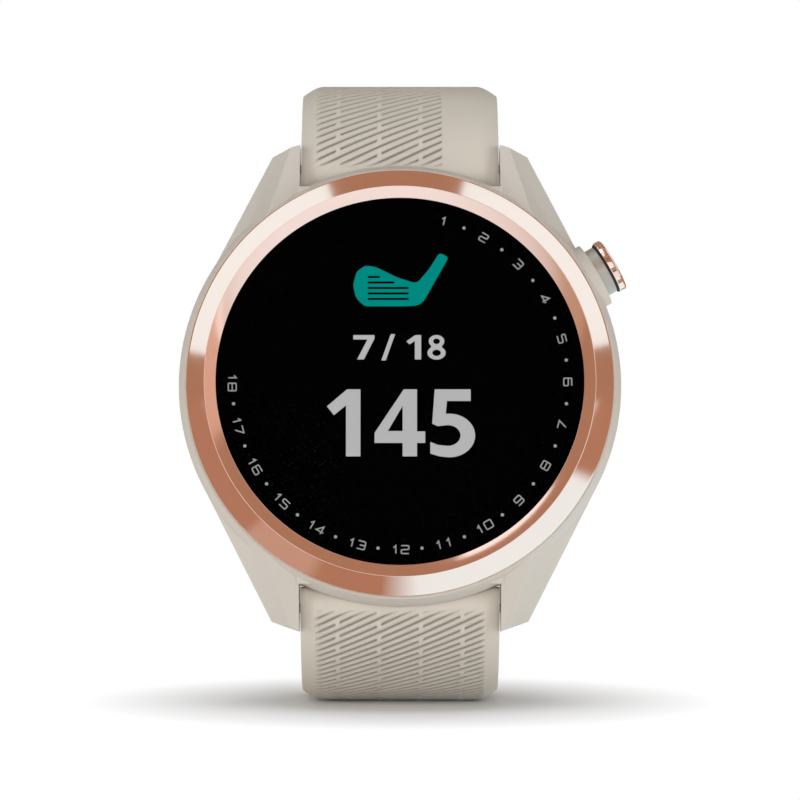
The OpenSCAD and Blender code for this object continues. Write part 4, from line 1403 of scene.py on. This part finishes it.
class WatchBack(bpy.types.Operator):
    """The back's screws, charging socket and contacts"""
    bl_idname = "watch.back"
    bl_label = "Back"

    def execute(self, context):
        corners = [math.radians(45 + 90 * i) for i in range(4)]
        spots = [(SCREW_CIRCLE * math.cos(a), SCREW_CIRCLE * math.sin(a), 0) for a in corners]
        screws = on_points("Screws", screw_mesh(), spots, "steel")
        screws.transform(HEAD_METRES)
        shown("back_screws_cut", screws, "head", "steel", ("back_screws",))
        domed = rounded([(0, 0.5), (0.3, 0.55), (0.45, 0.7), (0.45, 1.1), (0, 1.1)], 0.08, 3, ring=False)
        places = [(CONTACT_PITCH * (i - 1.5), SOCKET_DOWN, 0) for i in range(4)]
        contacts = on_points("Contacts", turned("contact", domed, "gold_plate", 32), places, "gold_plate")
        contacts.transform(HEAD_METRES)
        shown("charge_contacts_domed", contacts, "head", "gold_plate", ("charge_contacts",))
        softened("charge_socket", 0.1 * MM)
        return {"FINISHED"}


class WatchBuckle(bpy.types.Operator):
    """The buckle's frame, tongue and pin"""
    bl_idname = "watch.buckle"
    bl_label = "Buckle"

    def execute(self, context):
        softened("buckle_frame", 0.4 * MM, 4)
        softened("buckle_tongue", 0.22 * MM, 3)
        softened("buckle_pin", 0.15 * MM, 2)
        return {"FINISHED"}


def coil_spring(bar):
    """The spring inside a bar, wound along x from a point on the bar's axis."""
    tree = Growth("Coil spring", Turns=9.0, Radius=0.335 * MM, Wire=0.11 * MM, Length=4.58 * MM,
                  Finish=finish("steel"))
    spiral = tree.node("GeometryNodeCurveSpiral", {}, {"Resolution": 20, "Rotations": tree.input("Turns"),
                                                       "Start Radius": tree.input("Radius"),
                                                       "End Radius": tree.input("Radius"),
                                                       "Height": tree.input("Length")})
    wire = tree.node("GeometryNodeCurvePrimitiveCircle", {}, {"Resolution": 8, "Radius": tree.input("Wire")})
    swept = tree.node("GeometryNodeCurveToMesh", {},
                      {"Curve": spiral, "Profile Curve": wire, "Fill Caps": True})
    mesh = closed(tree.made(swept), 0.00001 * MM)
    end = bar + Vector((-1.89 * MM, 0, 0))
    mesh.transform(Matrix.Translation(end) @ Matrix.Rotation(math.radians(90), 4, "Y"))
    return mesh


class WatchBars(bpy.types.Operator):
    """The spring bars with their coil springs and release pins"""
    bl_idname = "watch.bars"
    bl_label = "Spring bars"

    def execute(self, context):
        for name, bar in (("upper", UPPER_BAR), ("lower", LOWER_BAR)):
            spring = coil_spring(bar)
            node = name + "_bar_spring"
            shown(node + "_coil", spring, body_of(node), "steel", (node,), crease=60)
            softened(name + "_bar_tube", 0.06 * MM, 2)
            softened(name + "_release_pin", 0.1 * MM, 2)
        return {"FINISHED"}


class WatchInside(bpy.types.Operator):
    """Finishes for the solids that keep their own shape"""
    bl_idname = "watch.inside"
    bl_label = "Inside"

    def execute(self, context):
        for name, node in frame["nodes"].items():
            under_lens = name in ("display_carrier", "lens_gasket")
            node.data.materials[0] = finish("black_print" if under_lens else node.data.materials[0].name)
        return {"FINISHED"}


# Stage
def area_lamp(name, place, aim, width, depth, strength, tint, mirrored):
    """A soft box of a plain strength towards a point, which only shows in reflections or only lights."""
    data = bpy.data.lights.new(name, "AREA")
    data.shape = "RECTANGLE"
    data.size = width
    data.size_y = depth
    data.energy = strength * math.pi * width * depth
    data.color = tint
    lamp = bpy.data.objects.new(name, data)
    lamp.location = place
    back = (Vector(place) - Vector(aim)).normalized()
    along = Vector((0, 1, 0))
    side = along.cross(back).normalized()
    lamp.rotation_euler = Matrix((side, back.cross(side), back)).transposed().to_euler()
    lamp.visible_glossy = mirrored
    lamp.visible_diffuse = not mirrored
    bpy.context.scene.collection.objects.link(lamp)


def studio_world():
    """A white surround for the camera, a dim warm one for reflections and an even fill for the rest."""
    world = bpy.data.worlds.new("studio")
    world.use_nodes = True
    bpy.context.scene.world = world
    tree = Tree(world.node_tree)
    path = tree.node("ShaderNodeLightPath")
    fill_light = tree.node("ShaderNodeBackground", {}, {"Color": (0.98, 0.99, 1.0, 1), "Strength": 0.23})
    seen = tree.node("ShaderNodeBackground", {}, {"Color": (0.5, 0.33, 0.225, 1), "Strength": 1.0})
    white = tree.node("ShaderNodeBackground", {}, {"Color": (1, 1, 1, 1), "Strength": 1.0})
    mirrored = tree.node("ShaderNodeMixShader", {}, {0: path.of("Is Glossy Ray"), 1: fill_light, 2: seen})
    both = tree.node("ShaderNodeMixShader", {}, {0: path.of("Is Camera Ray"), 1: mirrored, 2: white})
    tree.fill(world.node_tree.nodes["World Output"].inputs["Surface"], both)


def mirrored_floor(made, across, back):
    """Painted reflection: what glossy rays see on the floor, which glows with pale patches in front and on
    the right and warm dim ones elsewhere.
    """
    strip = ((across + 0.037) / 0.003).held() * ((-0.014 - across) / 0.003).held()
    left = made.mix((0.30, 0.19, 0.13), (0.38, 0.30, 0.25), strip)
    # A painted pale blue patch on the right, which metal mirrors as a bright highlight
    card = ((across + 0.003) / 0.006).held() * ((0.08 - across) / 0.012).held()
    beside = made.mix(left, (0.6, 0.885, 1.0), card)
    spread = ((across + 0.13) / 0.12).held() * (1 - ((across - 0.04) / 0.2).held() * 0.4)
    before = made.mix((0.36, 0.285, 0.215), (0.62, 0.78, 0.86), spread)
    return made.mix(beside, before, ((-0.055 - back) / 0.015).held())


def studio_floor():
    """A pale floor that keeps the watch's shadow near it, turns white further out, and glows with a painted
    reflection for glossy rays.
    """
    made = Finish("studio_floor", Roughness=0.9, IOR=1.1)
    made.set("Base Color", made.mix((0.9, 0.9, 0.9), (0.93, 0.93, 0.93), made.noise(30)))
    path = made.node("ShaderNodeLightPath")
    across, back, _ = made.split(made.place)
    ahead = (back + 0.016) * 0.85
    apart = (across * across + ahead * ahead).math("SQRT")
    far = ((apart - 0.012) / 0.02).held()
    white = made.node("ShaderNodeEmission", {}, {"Color": (1, 1, 1, 1), "Strength": 1.0})
    # Painted reflection: glossy rays see the floor glow with painted patches at 1.8 times white
    mirrored = made.node("ShaderNodeEmission", {},
                         {"Color": mirrored_floor(made, across, back), "Strength": 1.8})
    diffuse = Value(made, made.shader.outputs[0])
    seen = made.node("ShaderNodeMixShader", {}, {0: far, 1: diffuse, 2: white})
    both = made.node("ShaderNodeMixShader", {}, {0: path.of("Is Glossy Ray"), 1: seen, 2: mirrored})
    made.fill(made.nodes.nodes["Material Output"].inputs["Surface"], both)
    size = 3.0
    mesh = plain_mesh("floor", [(-size, -size, 0), (size, -size, 0), (size, size, 0), (-size, size, 0)],
                      [(0, 1, 2, 3)], Matrix.Translation((0, 0, -0.02 * MM)))
    mesh.materials.append(made.material)
    floor = bpy.data.objects.new("floor", mesh)
    bpy.context.scene.collection.objects.link(floor)


class WatchStage(bpy.types.Operator):
    """The floor, the lamps and the camera"""
    bl_idname = "watch.stage"
    bl_label = "Stage"

    def execute(self, context):
        scene = context.scene
        scene.view_settings.view_transform = "Standard"
        studio_world()
        studio_floor()
        middle = HEAD @ Vector((0, 0, LENS_TOP))
        cool = (0.42, 0.83, 1.0)
        plain = (1.0, 1.0, 1.0)
        for name, side, degrees in (("left soft box", -1, 42), ("right soft box", 1, 44)):
            lift = math.radians(degrees)
            place = middle + Vector((side * math.cos(lift), 0, math.sin(lift))) * 0.45
            area_lamp(name, place, middle, 0.51, 0.34, 1.58, cool, True)
        area_lamp("front card", (0, -0.9, 0.03), middle, 0.6, 0.6, 1.4, (0.6, 0.87, 1.0), True)
        area_lamp("right card", (0.4, -0.48, 0.07), middle, 0.35, 0.35, 0.36, (1.0, 0.98, 0.95), True)
        area_lamp("upper card", (-0.21, -0.20, 0.39), middle, 0.2, 0.32, 1.4, (0.6, 0.87, 1.0), True)
        area_lamp("key lamp", (0, -0.22, 0.78), (0, -0.02, 0.02), 0.4, 0.4, 2.1, plain, False)
        area_lamp("low fill", (0, -0.8, 0.02), (0, -0.03, 0.02), 0.6, 0.4, 4.9, plain, False)
        area_lamp("back fill", (0, 0.8, 0.2), (0, 0.02, 0.03), 0.6, 0.4, 4.0, plain, False)
        for name, side, strength in (("left fill", -1, 2.0), ("right fill", 1, 1.8)):
            area_lamp(name, (side * 0.55, -0.3, 0.14), middle, 0.4, 0.4, strength, plain, False)
        data = bpy.data.cameras.new("camera")
        data.lens = 185
        data.sensor_width = 36
        data.clip_start = 0.01
        camera = bpy.data.objects.new("camera", data)
        camera.location = (0, -0.436, 0.03065)
        camera.rotation_euler = (math.radians(90), 0, 0)
        scene.collection.objects.link(camera)
        scene.camera = camera
        return {"FINISHED"}


class WatchPanel(bpy.types.Panel):
    """Lists what builds the watch"""
    bl_idname = "VIEW3D_PT_watch"
    bl_label = "Golf watch"
    bl_space_type = "VIEW_3D"
    bl_region_type = "UI"
    bl_category = "Watch"

    def draw(self, context):
        scene = context.scene
        for group in (scene.watch_straps, scene.watch_head, scene.watch_colours):
            for name in group.__annotations__:
                self.layout.prop(group, name)
        for operator in OPERATORS:
            self.layout.operator(operator.bl_idname)


OPERATORS = (WatchStage, WatchStraps, WatchKeepers, WatchCase, WatchBezel, WatchDial, WatchDisplay,
             WatchButton, WatchBack, WatchBuckle, WatchBars, WatchInside)
GROUPS = {"watch_straps": StrapSizes, "watch_head": HeadSizes, "watch_colours": WatchColours}


def register():
    """Registers the property groups, the operators and the panel."""
    for kind in (*GROUPS.values(), *OPERATORS, WatchPanel):
        bpy.utils.register_class(kind)
    for name, kind in GROUPS.items():
        setattr(bpy.types.Scene, name, PointerProperty(type=kind))


def unregister():
    """Takes everything that was registered away again."""
    for name in GROUPS:
        delattr(bpy.types.Scene, name)
    for kind in (WatchPanel, *reversed(OPERATORS), *GROUPS.values()):
        bpy.utils.unregister_class(kind)


def main():
    """Builds the watch."""
    register()
    for operator in OPERATORS:
        group, name = operator.bl_idname.split(".")
        getattr(getattr(bpy.ops, group), name)()


if __name__ == "__main__":
    main()
